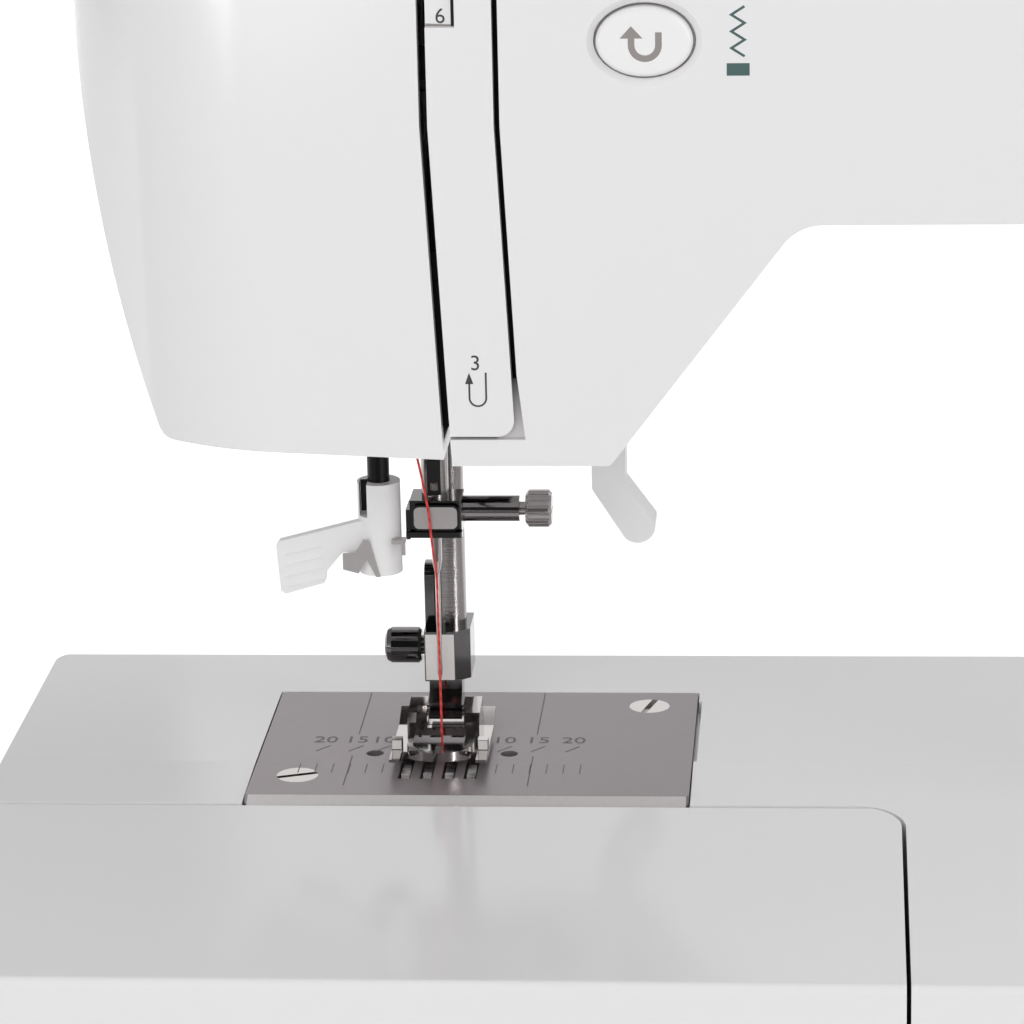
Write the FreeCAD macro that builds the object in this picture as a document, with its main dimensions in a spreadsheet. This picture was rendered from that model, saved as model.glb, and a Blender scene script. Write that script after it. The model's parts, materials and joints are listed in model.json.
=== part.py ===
import FreeCAD, Part
import math
import os
import re
import Sketcher
from FreeCAD import Placement, Rotation, Vector

# Front loading free arm sewing machine. Millimetres, Z up, X to the right, the operator at -Y.
# The frame is centred on the overall width and depth, and the rubber feet stand on Z = 0.

SIZES = {
    "overall_width": 400,
    "overall_depth": 160,
    "bed_height": 84,
    "wall": 2.8,
    "seam": 0.3,
    "running_fit": 0.05,
    # Where the needle stands in the bed
    "needle_from_left": 85,
    "needle_from_front": 104,
    # Base and bed
    "foot_height": 4,
    "foot_radius": 9,
    "base_thickness": 8,
    "base_inset": 1.5,
    "arm_clearance": 18,
    "bed_corner": 5.5,
    "bed_edge": 1.6,
    "bed_fall": 7.3,
    "bed_front_lean": 2.5,
    "crease_from_needle": 10,
    # Extension table
    "table_reach": 89.5,
    "table_corner": 8,
    "table_gap": 0.8,
    "lid_height": 44,
    "lid_margin": 14,
    "peg_radius": 3,
    "peg_length": 6,
    # Needle plate
    "plate_width": 84,
    "plate_depth": 62,
    "plate_thickness": 2.4,
    "plate_left_reach": 35,
    "plate_corner": 1.5,
    "plate_screw_radius": 4,
    "plate_ledge": 4,
    # Arm, head and pillar
    "pillar_width": 122,
    "throat_height": 114,
    "arm_height": 88,
    "arm_front_reach": 47,
    "arm_back_reach": 48,
    "head_clearance": 70,
    "head_rise_left": 3.6,
    "face_step": 1.2,
    "head_left_reach": 63.2,
    "head_toe_reach": 45.5,
    "head_right_reach": 36.2,
    "head_side_rise": 155,
    "head_side_radius": 285,
    "slope_run": 33.8,
    "slope_corner": 9,
    "head_plan_corner": 40,
    "pillar_plan_corner": 14,
    "top_edge": 16,
    "throat_corner": 20,
    "top_cover_height": 18,
    # Thread slots, measured from the needle
    "left_slot_low": 7.05,
    "left_slot_high": 4.2,
    "left_slot_width": 1.45,
    "strip_width": 11.7,
    "right_slot_width": 1.05,
    "slot_bend_rise": 132,
    "tab_rise": 150,
    "strip_bottom_rise": 75.5,
    "strip_corner": 3,
    "recess_width": 0.8,
    "recess_rise": 12,
    # Reverse button
    "button_reach": 43.3,
    "button_rise": 147,
    "button_half_width": 8.5,
    "button_half_height": 6.2,
    "button_travel": 2.5,
    "button_dish": 1.2,
    "dish_depth": 0.9,
    # Main shaft and drive
    "shaft_rise": 162,
    "shaft_radius": 5,
    "wheel_width": 26,
    "wheel_gap": 2,
    "wheel_radius": 38,
    "crank_radius": 14,
    "crank_disc": 20,
    "link_length": 50,
    "lower_shaft_radius": 4,
    "bush_wall": 2.5,
    "timing_radius": 13,
    "drive_radius": 30,
    "motor_radius": 21,
    "motor_pulley_radius": 7,
    "belt_thickness": 2,
    "belt_width": 8,
    # Hook
    "hook_drop": 28,
    "hook_radius": 15.4,
    "race_radius": 17,
    "case_radius": 12,
    "bobbin_radius": 10,
    "bevel_module": 1,
    "hook_teeth": 14,
    # Needle bar group
    "needle_bar_radius": 2.6,
    "needle_tip_rise": 12.2,
    "clamp_low": 44.2,
    "clamp_height": 6.6,
    # Presser group
    "presser_bar_reach": 1.3,
    "presser_bar_back": 13,
    "presser_bar_radius": 3,
    "foot_width": 18.6,
    "foot_lift": 1.2,
    "ankle_low": 11.4,
    "ankle_high": 21.5,
    "screw_rise": 16.2,
    # Threader
    "threader_reach": 10.4,
    "threader_front": 4,
    "threader_radius": 2.1,
    "sleeve_radius": 4.1,
    "sleeve_low": 36.9,
    "sleeve_high": 54.9,
    # Feed
    "feed_pitch": 4.2,
    "feed_offset": 0.6,
    "feed_tooth": 2.2,
    "feed_height": -0.2,
    # Controls
    "stitch_dial_radius": 27,
    "length_dial_radius": 13,
    "tension_radius": 16,
    "handle_half": 62,
    "handle_bar": 9,
    "pin_radius": 2.5,
}

# Places and lengths that follow from the sizes.
PLACES = {
    "left": "-overall_width / 2",
    "front": "-overall_depth / 2",
    "back": "overall_depth / 2",
    "needle_x": "left + needle_from_left",
    "needle_y": "front + needle_from_front",
    "base_top": "foot_height + base_thickness",
    "arm_under": "base_top + arm_clearance",
    "housing_right": "overall_width / 2 - wheel_width - wheel_gap",
    "arm_front": "needle_y - arm_front_reach",
    "arm_back": "needle_y + arm_back_reach",
    "pillar_left": "housing_right - pillar_width",
    "head_bottom": "bed_height + head_clearance",
    "arm_bottom": "bed_height + throat_height",
    "arm_top": "arm_bottom + arm_height",
    "cover_split": "arm_top - top_cover_height",
    "split_y": "needle_y + 1",
    "head_left": "needle_x - head_left_reach",
    "head_toe": "needle_x - head_toe_reach",
    "head_right": "needle_x + head_right_reach",
    "slope_end": "head_right + slope_run",
    "slope_rise": "arm_bottom - head_bottom",
    "slope_shift": "wall * sqrt(slope_run * slope_run + slope_rise * slope_rise) / slope_rise",
    "slope_low_inset": "slope_shift - wall * slope_run / slope_rise",
    "table_right": "needle_x + table_reach",
    "table_back": "needle_y - plate_depth / 2",
    "plate_left": "needle_x - plate_left_reach",
    "plate_right": "plate_left + plate_width",
    "plate_back": "needle_y + plate_depth / 2",
    "plate_under": "bed_height - plate_thickness",
    "crease_y": "needle_y - crease_from_needle",
    "table_edge_top": "bed_height - 0.7",
    "shaft_z": "bed_height + shaft_rise",
    "slot_bend": "bed_height + slot_bend_rise",
    "tab_low": "bed_height + tab_rise",
    "strip_bottom": "bed_height + strip_bottom_rise",
    "slot_lean": "(left_slot_low - left_slot_high) / (slot_bend - head_bottom)",
    "left_slot_mid": "left_slot_low - slot_lean * (strip_bottom - head_bottom)",
    "strip_left_high": "needle_x + left_slot_high + left_slot_width / 2",
    "strip_left_low": "needle_x + left_slot_mid + left_slot_width / 2",
    "ledge_left": "needle_x + left_slot_low + left_slot_width / 2",
    "face_right_low": "needle_x + left_slot_low - left_slot_width / 2",
    "face_right_high": "needle_x + left_slot_high - left_slot_width / 2",
    "hook_z": "bed_height - hook_drop",
    "lower_y": "needle_y + 30",
    "hook_pitch": "bevel_module * hook_teeth / 2",
    "timing_x": "housing_right - 72",
    "drive_x": "housing_right - 44",
    "motor_length": "pillar_width - 84",
    "motor_y": "needle_y + 18",
    "motor_z": "bed_height + 36",
    "frame_floor": "arm_under + wall + 0.2",
    "frame_floor_top": "frame_floor + 3.5",
    "frame_right": "housing_right - wall - 4",
    "beam_front": "needle_y + 23",
    "beam_back": "needle_y + 38",
    "beam_low": "shaft_z + 4",
    "beam_high": "cover_split + 4",
    "presser_x": "needle_x + presser_bar_reach",
    "presser_y": "needle_y + presser_bar_back",
    "threader_x": "needle_x - threader_reach",
    "threader_y": "needle_y - threader_front",
    "take_up_y": "needle_y + 28",
    "take_up_z": "shaft_z - 10",
    "take_up_x": "needle_x + left_slot_high",
    "lifter_x": "needle_x + 26",
    "lifter_z": "head_bottom + 8.5",
    "dial_x": "(pillar_left + housing_right) / 2",
    "stitch_z": "bed_height + 92",
    "length_z": "shaft_z - 6",
    "bar_frame_x": "needle_x - 7.5",
    "bar_frame_z": "shaft_z + 4",
    "clamp_top": "clamp_low + clamp_height",
    "foot_x": "needle_x + feed_offset",
    "handle_x": "dial_x - 88",
    "handle_y": "needle_y + 8",
    "handle_z": "arm_top + handle_bar / 2 + 1",
    "winder_x": "housing_right - 18",
    "winder_y": "needle_y - 10",
    "spool_x": "timing_x - 20",
    "spool_y": "needle_y - 26",
    "tension_x": "needle_x + 42",
    "tension_y": "needle_y - 22",
    "tension_z": "arm_top - tension_radius + 3",
    "switch_z": "bed_height + 26",
}

doc = FreeCAD.newDocument("sewing_machine")
sheet = doc.addObject("Spreadsheet::Sheet", "Sizes")
for row, (alias, value) in enumerate(SIZES.items(), start=1):
    sheet.set(f"A{row}", alias)
    sheet.set(f"B{row}", str(value))
    sheet.setAlias(f"B{row}", alias)
doc.recompute()

WORD = re.compile(r"[A-Za-z_]+")
TURN = {
    "X": Rotation(Vector(0, 1, 0), 90),
    "Y": Rotation(Vector(1, 0, 0), -90),
    "Z": Rotation(),
    "XY": Rotation(),
    "XZ": Rotation(Vector(1, 0, 0), 90),
    "YZ": Rotation(Vector(1, 1, 1), 120),
}
nodes = []


def ex(text):
    """The expression with places spelled out and sizes read from the sheet."""
    def spell(match):
        word = match.group(0)
        if word in PLACES:
            return "(" + ex(PLACES[word]) + ")"
        return "Sizes." + word if word in SIZES else word
    return WORD.sub(spell, str(text))


def val(text):
    """The number an expression comes to with the sheet's sizes."""
    return float(sheet.evalExpression(ex(text)))


def bind(obj, **exprs):
    """Binds properties to expressions; a double underscore stands for a dot."""
    for prop, text in exprs.items():
        obj.setExpression(prop.replace("__", "."), ex(text))
    return obj


def place(obj, x="0", y="0", z="0", turn="Z"):
    """Turns an object to an axis or plane and binds where it stands."""
    obj.Placement = Placement(Vector(), TURN[turn])
    return bind(obj, Placement__Base__x=x, Placement__Base__y=y, Placement__Base__z=z)


def made(kind, name):
    return doc.addObject(kind, name)


def box(name, xs, ys, zs):
    """A box from three (low, high) pairs."""
    obj = made("Part::Box", name)
    bind(
        obj,
        Length=f"({xs[1]}) - ({xs[0]})",
        Width=f"({ys[1]}) - ({ys[0]})",
        Height=f"({zs[1]}) - ({zs[0]})",
    )
    return place(obj, xs[0], ys[0], zs[0])


def along(axis, centre, start):
    """The x, y, z of a point given across and along an axis."""
    first, second = centre
    return {
        "X": (start, first, second),
        "Y": (first, start, second),
        "Z": (first, second, start),
    }[axis]


def rod(name, axis, centre, span, radius):
    """A cylinder on an axis; the centre is given in the other two directions."""
    obj = made("Part::Cylinder", name)
    bind(obj, Radius=radius, Height=f"({span[1]}) - ({span[0]})")
    return place(obj, *along(axis, centre, span[0]), turn=axis)


def cone(name, axis, centre, span, low_radius, high_radius):
    """A cone frustum on an axis."""
    obj = made("Part::Cone", name)
    bind(obj, Radius1=low_radius, Radius2=high_radius, Height=f"({span[1]}) - ({span[0]})")
    return place(obj, *along(axis, centre, span[0]), turn=axis)


def ring(name, axis, centre, span, outer, inner):
    """A tube on an axis."""
    whole = rod(name + "_outer", axis, centre, span, outer)
    return cut(name, whole, [rod(name + "_bore", axis, centre, span, inner)])


def fuse(name, parts):
    obj = made("Part::MultiFuse", name)
    obj.Shapes = parts
    return obj


def common(name, parts):
    obj = made("Part::MultiCommon", name)
    obj.Shapes = parts
    return obj


def cut(name, base, tools):
    obj = made("Part::Cut", name)
    obj.Base = base
    obj.Tool = tools[0] if len(tools) == 1 else fuse(name + "_tools", tools)
    return obj


def group(name, parts):
    """Separate solids kept as one node."""
    obj = made("Part::Compound", name)
    obj.Links = parts
    return obj


def feature(name, shape):
    """A shape set by code, for forms the document objects cannot make."""
    obj = made("Part::Feature", name)
    obj.Shape = shape
    return obj


def node(obj, name):
    """Hands an object in as the piece of that name."""
    obj.Label = name
    nodes.append(obj)
    return obj


def arc_middle(start, end, radius):
    """The middle of the arc between two points that swells to the right of its run."""
    chord = end - start
    half = chord.Length / 2
    side = Vector(chord.y, -chord.x, 0).normalize()
    return start + chord * 0.5 + side * (radius - math.sqrt(radius * radius - half * half))


def outline(body, name, points, plane_role):
    """A closed sketch; a point's third entry is the radius of an arc to the next point."""
    sketch = body.newObject("Sketcher::SketchObject", name)
    plane = [item for item in body.Origin.OriginFeatures if item.Role == plane_role][0]
    sketch.AttachmentSupport = (plane, [""])
    sketch.MapMode = "FlatFace"
    spots = [Vector(val(point[0]), val(point[1]), 0) for point in points]
    ends = []
    for index, point in enumerate(points):
        here = spots[index]
        after = spots[(index + 1) % len(spots)]
        if len(point) == 3:
            curve = Part.Arc(here, arc_middle(here, after, val(point[2])), after)
            sketch.addGeometry(curve)
        else:
            sketch.addGeometry(Part.LineSegment(here, after))
        begins = sketch.Geometry[index].StartPoint.distanceToPoint(here) < 1e-6
        ends.append((1, 2) if begins else (2, 1))
    for index, point in enumerate(points):
        after = (index + 1) % len(points)
        join = Sketcher.Constraint("Coincident", index, ends[index][1], after, ends[after][0])
        sketch.addConstraint(join)
    for index, point in enumerate(points):
        for kind, text in (("DistanceX", point[0]), ("DistanceY", point[1])):
            reach = Sketcher.Constraint(kind, -1, 1, index, ends[index][0], val(text))
            number = sketch.addConstraint(reach)
            sketch.setExpression(f"Constraints[{number}]", ex(text))
        if len(point) == 3:
            number = sketch.addConstraint(Sketcher.Constraint("Radius", index, val(point[2])))
            sketch.setExpression(f"Constraints[{number}]", ex(point[2]))
    return sketch


def upright_edges(shape, spot):
    """Names of the edges that stand along the pad direction over a sketch point."""
    names = []
    for number, edge in enumerate(shape.Edges, start=1):
        ends = [vertex.Point for vertex in edge.Vertexes]
        near = all(math.hypot(end.x - spot.x, end.y - spot.y) < 1e-4 for end in ends)
        if near and len(ends) == 2 and abs(ends[0].z - ends[1].z) > 1e-4:
            names.append(f"Edge{number}")
    return names


def prism(name, plane, points, span, rounds=()):
    """A padded outline. Rounds are (radius, point numbers) pairs for its upright edges."""
    body = made("PartDesign::Body", name)
    sketch = outline(body, name + "_outline", points, "XY_Plane")
    pad = body.newObject("PartDesign::Pad", name + "_pad")
    pad.Profile = sketch
    bind(pad, Length=f"({span[1]}) - ({span[0]})")
    doc.recompute()
    last = pad
    for order, (radius, numbers) in enumerate(rounds):
        edges = []
        for number in numbers:
            spot = Vector(val(points[number][0]), val(points[number][1]), 0)
            edges += upright_edges(last.Shape, spot)
        fillet = body.newObject("PartDesign::Fillet", f"{name}_round_{order}")
        fillet.Base = (last, edges)
        bind(fillet, Radius=radius)
        doc.recompute()
        last = fillet
    stand = {"XY": ("0", "0", span[0]), "XZ": ("0", span[1], "0"), "YZ": (span[0], "0", "0")}
    place(body, *stand[plane], turn=plane)
    return body


def turned(name, axis, centre, start, profile):
    """A turned body from (radius, distance along the axis) pairs."""
    body = made("PartDesign::Body", name)
    sketch = outline(body, name + "_profile", profile, "XZ_Plane")
    spin = body.newObject("PartDesign::Revolution", name + "_turn")
    spin.Profile = sketch
    spin.ReferenceAxis = (sketch, ["V_Axis"])
    spin.Angle = 360
    place(body, *along(axis, centre, start), turn=axis)
    doc.recompute()
    return body


def soften(name, base, radius, keep):
    """Rounds the edges of a finished shape that pass a test."""
    doc.recompute()
    obj = made("Part::Fillet", name)
    obj.Base = base
    size = val(radius)
    chosen = [number for number, edge in enumerate(base.Shape.Edges, start=1) if keep(edge)]
    obj.Edges = [(number, size, size) for number in chosen]
    return obj


# Base, bed and extension table

def base_group():
    inset_left = "left + base_inset"
    inset_right = "housing_right - base_inset"
    inset_front = "front + base_inset"
    inset_back = "back - base_inset"
    corners = [
        (inset_left, inset_front),
        (inset_right, inset_front),
        (inset_right, inset_back),
        (inset_left, inset_back),
    ]
    rounds = [("pillar_plan_corner - base_inset", [0, 1, 2, 3])]
    base = prism("base_plate", "XY", corners, ("foot_height", "base_top"), rounds)
    node(base, "base_plate")
    feet = []
    for end, reach in (("left", "+ base_inset"), ("housing_right", "- base_inset")):
        for edge, depth in (("front", "+ base_inset"), ("back", "- base_inset")):
            sign = reach[0]
            step = depth[0]
            spot = (f"{end} {reach} {sign} 2 * foot_radius", f"{edge} {depth} {step} 2 * foot_radius")
            span = ("0", "foot_height")
            feet.append(cone("rubber_foot", "Z", spot, span, "foot_radius - 1", "foot_radius"))
    node(group("rubber_feet", feet), "rubber_feet")


def bed_profile(name, inset, low, span, rounds=()):
    """The bed's cross section, flat behind the crease and falling to the front."""
    points = [
        (f"front + {inset} * 1.2", low),
        (f"back - {inset}", low),
        (f"back - {inset}", f"bed_height - {inset}"),
        ("crease_y", f"bed_height - {inset}"),
        ("table_back", f"table_edge_top - {inset}"),
        (f"front + bed_front_lean + {inset}", f"bed_height - bed_fall - {inset}"),
    ]
    return prism(name, "YZ", points, span, rounds)


def bed_plan(name, inset, rounds):
    """The bed's outline from above: the free arm on the left, full depth on the right."""
    points = [
        (f"table_right + {inset}", f"front + {inset}"),
        (f"housing_right - {inset}", f"front + {inset}"),
        (f"housing_right - {inset}", f"back - {inset}"),
        (f"left + {inset}", f"back - {inset}"),
        (f"left + {inset}", f"table_back + {inset}"),
        (f"table_right + {inset}", f"table_back + {inset}"),
    ]
    return prism(name, "XY", points, ("0", "bed_height + 5"), rounds)


def bed_group():
    across = ("left", "housing_right")
    outer = common("bed_outer", [
        bed_profile("bed_section", "0", "base_top", across, [("bed_edge", [2]), ("bed_edge", [5])]),
        bed_plan("bed_outline", "0", [
            ("pillar_plan_corner", [1, 2]),
            ("bed_corner", [3]),
            ("table_corner + table_gap", [5]),
            ("bed_edge", [0, 4]),
        ]),
    ])
    inside = common("bed_inside", [
        bed_profile("bed_inner_section", "wall", "base_top - 1", across),
        bed_plan("bed_inner_outline", "wall", [
            ("pillar_plan_corner - wall", [1, 2]),
            ("bed_corner - wall", [3]),
            ("table_corner + table_gap + wall", [5]),
        ]),
    ])
    arm_floor = box(
        "arm_floor",
        ("left - 1", "table_right + wall"),
        ("table_back - 1", "back + 1"),
        ("base_top - 2", "arm_under + wall"),
    )
    under_arm = box(
        "under_arm",
        ("left - 1", "table_right"),
        ("table_back - 1", "back + 1"),
        ("base_top - 2", "arm_under"),
    )
    shell = cut("bed_shell", outer, [cut("bed_cavity", inside, [arm_floor]), under_arm])
    rim = box(
        "plate_rim",
        ("plate_left - 4", "plate_right + 4"),
        ("table_back + wall - 0.5", "plate_back + 4"),
        ("plate_under - 2.2", "bed_height - wall + 0.2"),
    )
    openings = [
        box(
            "plate_seat",
            ("plate_left - seam", "plate_right + seam"),
            ("table_back - 1", "plate_back + seam"),
            ("plate_under", "bed_height + 1"),
        ),
        box(
            "plate_window",
            ("plate_left + plate_ledge", "plate_right - plate_ledge"),
            ("table_back + plate_ledge", "plate_back - plate_ledge"),
            ("plate_under - 4", "bed_height + 1"),
        ),
        box(
            "plate_notch",
            ("plate_right", "plate_right + 0.9"),
            ("needle_y - 9", "needle_y + 26"),
            ("plate_under", "bed_height + 1"),
        ),
        box(
            "pillar_window",
            ("pillar_left + 8", "housing_right - 6"),
            ("arm_front + 10", "arm_back - 4"),
            ("bed_height - wall - 1", "bed_height + 1"),
        ),
        box(
            "hook_window",
            ("needle_x - 26", "needle_x + 28"),
            ("table_back - 1", "table_back + wall + 1"),
            ("arm_under + 6", "plate_under - 5"),
        ),
        rod(
            "peg_hole", "X", ("(front + table_back) / 2", "bed_height / 2"),
            ("table_right - 1", "table_right + wall + 1"), "peg_radius + 0.4",
        ),
    ]
    node(cut("bed_cover", fuse("bed_rimmed", [shell, rim]), openings), "bed_cover")
    door = box(
        "door_blank",
        ("needle_x - 26 + seam", "needle_x + 28 - seam"),
        ("table_back + 0.2", "table_back + 2.4"),
        ("arm_under + 6 + seam", "plate_under - 5 - seam"),
    )
    grip = rod(
        "door_grip", "X", ("table_back", "arm_under + 14"),
        ("needle_x - 9", "needle_x + 11"), "1.6",
    )
    node(cut("hook_door_cut", door, [grip]), "hook_door")


def table_group():
    right = "table_right - table_gap"
    rear = "table_back - table_gap"
    low = "base_top + seam"
    sections = []
    for name, inset in (("table_section", "0"), ("table_inner", "wall")):
        points = [
            (f"front + {inset} * 1.2", f"{low} + {inset}"),
            (f"{rear} - {inset}", f"{low} + {inset}"),
            (f"{rear} - {inset}", f"table_edge_top - {inset}"),
            (f"front + bed_front_lean + {inset}", f"bed_height - bed_fall - {inset}"),
        ]
        rounds = [("bed_edge", [3]), ("0.5", [2])] if inset == "0" else ()
        sections.append(prism(name, "YZ", points, (f"left + {inset}", f"{right} - {inset}"), rounds))
    plan = prism(
        "table_plan", "XY",
        [("left", "front"), (right, "front"), (right, rear), ("left", rear)],
        ("0", "bed_height"),
        [("table_corner", [2]), ("bed_edge", [0, 1, 3])],
    )
    outer = common("table_outer", [sections[0], plan])
    shell = cut("table_shell", outer, [sections[1]])
    lid_low = "base_top + 9"
    lid_high = "base_top + 9 + lid_height"
    depth = ("front - 1", "front + bed_front_lean + wall + 2")
    window = box("lid_window", ("left + lid_margin", f"{right} - lid_margin"), depth, (lid_low, lid_high))
    lid_space = box(
        "lid_space",
        ("left + lid_margin + seam", f"{right} - lid_margin - seam"),
        depth,
        (f"{lid_low} + seam", f"{lid_high} - seam"),
    )
    grip = rod(
        "lid_grip", "X", ("front", f"{lid_high} - 4"),
        (f"(left + {right}) / 2 - 15", f"(left + {right}) / 2 + 15"), "2.2",
    )
    hinge = ("front + 0.16 * bed_front_lean + 1.2", f"{lid_low} + seam + 1.2")
    ends = ("left + lid_margin", f"{right} - lid_margin")
    past = (f"{ends[0]} - 1", f"{ends[1]} + 1")
    corner = cut(
        "lid_corner",
        box("lid_corner_block", past, ("front - 1", hinge[0]), (lid_low, hinge[1])),
        [rod("lid_roll", "X", hinge, past, "1.2")],
    )
    spans = [(f"{ends[0]} - 2.2", f"{ends[0]} + 3"), (f"{ends[1]} - 3", f"{ends[1]} + 2.2")]
    pins = [rod(f"lid_pin_{order}", "X", hinge, span, "0.9") for order, span in enumerate(spans)]
    sockets = [
        rod("lid_socket_left", "X", hinge, (f"{ends[0]} - 2.6", f"{ends[0]} + 1"), "0.9 + running_fit"),
        rod("lid_socket_right", "X", hinge, (f"{ends[1]} - 1", f"{ends[1]} + 2.6"), "0.9 + running_fit"),
    ]
    panel = cut("lid_cut", common("lid_plate", [shell, lid_space]), [grip, corner])
    node(fuse("lid_hung", [panel] + pins), "accessory_lid")
    peg = rod(
        "table_peg", "X", ("(front + table_back) / 2", "bed_height / 2"),
        (f"{right} - 1", f"{right} + peg_length"), "peg_radius",
    )
    opened = cut("table_open", shell, [window] + sockets)
    node(fuse("table_body", [opened, peg]), "extension_table")


# Needle plate and feed

def plate_holes(name, reach_x, reach_y, radius):
    spot = (f"needle_x + {reach_x}", f"needle_y + {reach_y}")
    return rod(name, "Z", spot, ("plate_under - 1", "bed_height + 1"), radius)


def feed_rows():
    """Offsets of the four tooth rows from the needle."""
    return [f"feed_offset + feed_pitch * {step}" for step in (-1.5, -0.5, 0.5, 1.5)]


def plate_group():
    corners = [
        ("plate_left", "table_back"),
        ("plate_right", "table_back"),
        ("plate_right", "plate_back"),
        ("plate_left", "plate_back"),
    ]
    blank = prism(
        "plate_blank", "XY", corners, ("plate_under", "bed_height"), [("plate_corner", [0, 1, 2, 3])]
    )
    through = ("plate_under - 1", "bed_height + 1")
    tools = []
    for order, row in enumerate(feed_rows()):
        width = (f"needle_x + {row} - 1.25", f"needle_x + {row} + 1.25")
        tools.append(box(f"front_slot_{order}", width, ("needle_y - 19.3", "needle_y - 5"), through))
        tools.append(box(f"rear_slot_{order}", width, ("needle_y + 4.2", "needle_y + 10.8"), through))
    tools.append(box(
        "needle_slot", ("needle_x - 4.6", "needle_x + 4.6"), ("needle_y - 1.1", "needle_y + 1.1"), through
    ))
    tools.append(plate_holes("needle_slot_left", "-4.6", "0", "1.1"))
    tools.append(plate_holes("needle_slot_right", "4.6", "0", "1.1"))
    tools.append(plate_holes("gauge_hole_left", "-12.6", "-5.1", "1.7"))
    tools.append(plate_holes("gauge_hole_right", "13.5", "-5.1", "1.7"))
    tools.append(prism(
        "plate_bevel", "YZ",
        [
            ("table_back - 0.2", "bed_height - 1.4"),
            ("table_back + 3", "bed_height + 0.05"),
            ("table_back - 0.2", "bed_height + 0.05"),
        ],
        ("plate_left - 1", "plate_right + 1"),
    ))
    screws = []
    for order, (reach_x, reach_y, turn) in enumerate((("-26.3", "-17.5", 20), ("39.5", "23.1", 75))):
        spot = (f"needle_x + {reach_x}", f"needle_y + {reach_y}")
        sink = ("plate_under", "bed_height")
        tools.append(cone(f"screw_sink_{order}", "Z", spot, sink, "2.2", "plate_screw_radius"))
        head = cone(f"screw_head_{order}", "Z", spot, sink, "2.2", "plate_screw_radius")
        shank = rod(f"screw_shank_{order}", "Z", spot, ("plate_under - 2", "plate_under"), "1.6")
        slot = made("Part::Box", f"screw_slot_{order}")
        bind(slot, Length="plate_screw_radius * 2.4", Width="1.2", Height="2")
        slot.Placement = Placement(Vector(), Rotation(Vector(0, 0, 1), turn))
        lean = math.radians(turn)
        half = "plate_screw_radius * 1.2"
        bind(
            slot,
            Placement__Base__x=f"{spot[0]} - {half} * {math.cos(lean):.6f} + 0.6 * {math.sin(lean):.6f}",
            Placement__Base__y=f"{spot[1]} - {half} * {math.sin(lean):.6f} - 0.6 * {math.cos(lean):.6f}",
            Placement__Base__z="bed_height - 1.1",
        )
        screws.append(cut(f"plate_screw_{order}", fuse(f"screw_blank_{order}", [head, shank]), [slot]))
    node(cut("needle_plate", blank, tools), "needle_plate")
    node(group("plate_screws", screws), "plate_screws")


def tooth_bar(name, low, high):
    """A toothed bar across all rows, sawteeth leaning back."""
    top = "bed_height + feed_height"
    count = int((val(high) - val(low)) / val("feed_tooth"))
    points = [(low, "plate_under - 2.5")]
    points.append((f"{low} + {count} * feed_tooth", "plate_under - 2.5"))
    for tooth in range(count, 0, -1):
        points.append((f"{low} + {tooth} * feed_tooth", f"{top} - 1.3"))
        points.append((f"{low} + ({tooth} - 0.35) * feed_tooth", top))
    points.append((low, f"{top} - 1.3"))
    return prism(name, "YZ", points, ("needle_x - 10", "needle_x + 12"))


def feed_group():
    bars = fuse("feed_bars", [
        tooth_bar("front_teeth", "needle_y - 16.8", "needle_y - 7.4"),
        tooth_bar("rear_teeth", "needle_y + 6.5", "needle_y + 8.8"),
    ])
    rows = fuse("feed_rows", [
        box(
            f"feed_row_{order}",
            (f"needle_x + {row} - 0.8", f"needle_x + {row} + 0.8"),
            ("needle_y - 25", "needle_y + 30"),
            ("plate_under - 4", "bed_height + 3"),
        )
        for order, row in enumerate(feed_rows())
    ])
    plate = box(
        "feed_base", ("needle_x - 8", "needle_x + 9.2"),
        ("needle_y - 18.5", "needle_y + 24"), ("plate_under - 4", "plate_under - 1.3"),
    )
    window = box(
        "feed_window", ("needle_x - 6.5", "needle_x + 7.5"),
        ("needle_y - 5.5", "needle_y + 5"), ("plate_under - 6", "plate_under"),
    )
    teeth = common("feed_teeth", [bars, rows])
    node(fuse("feed_dog", [teeth, cut("feed_carrier", plate, [window])]), "feed_dog")
    post = ("needle_x - 14", "needle_y + 30")
    bar = box(
        "feed_bar_block", ("needle_x - 19", "needle_x + 3.5"),
        ("needle_y + 13", "needle_y + 36"), ("plate_under - 12", "plate_under - 4.1"),
    )
    bore = rod("feed_post_bore", "Z", post, ("plate_under - 13", "plate_under"), "3 + running_fit")
    node(cut("feed_bar", bar, [bore]), "feed_bar")


# Arm and head covers

def arm_outline(name, inset, low, span, rounds):
    """The arm, head and pillar seen from the front."""
    side_z = "bed_height + head_side_rise"
    points = [
        (f"head_toe + 0.75 * {inset}", f"head_bottom + head_rise_left + {inset}"),
        ("face_right_low", f"head_bottom + face_step + {inset}"),
        ("ledge_left", f"head_bottom + {inset}"),
        (f"head_right - slope_low_inset * {inset} / wall", f"head_bottom + {inset}"),
        (f"slope_end - slope_low_inset * {inset} / wall", f"arm_bottom + {inset}"),
        (f"pillar_left + {inset}", f"arm_bottom + {inset}"),
        (f"pillar_left + {inset}", low),
        (f"housing_right - {inset}", low),
        (f"housing_right - {inset}", f"arm_top - {inset}"),
        (f"head_left + {inset}", f"arm_top - {inset}"),
        (f"head_left + {inset}", side_z, f"head_side_radius - {inset}"),
    ]
    return prism(name, "XZ", points, span, rounds)


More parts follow.
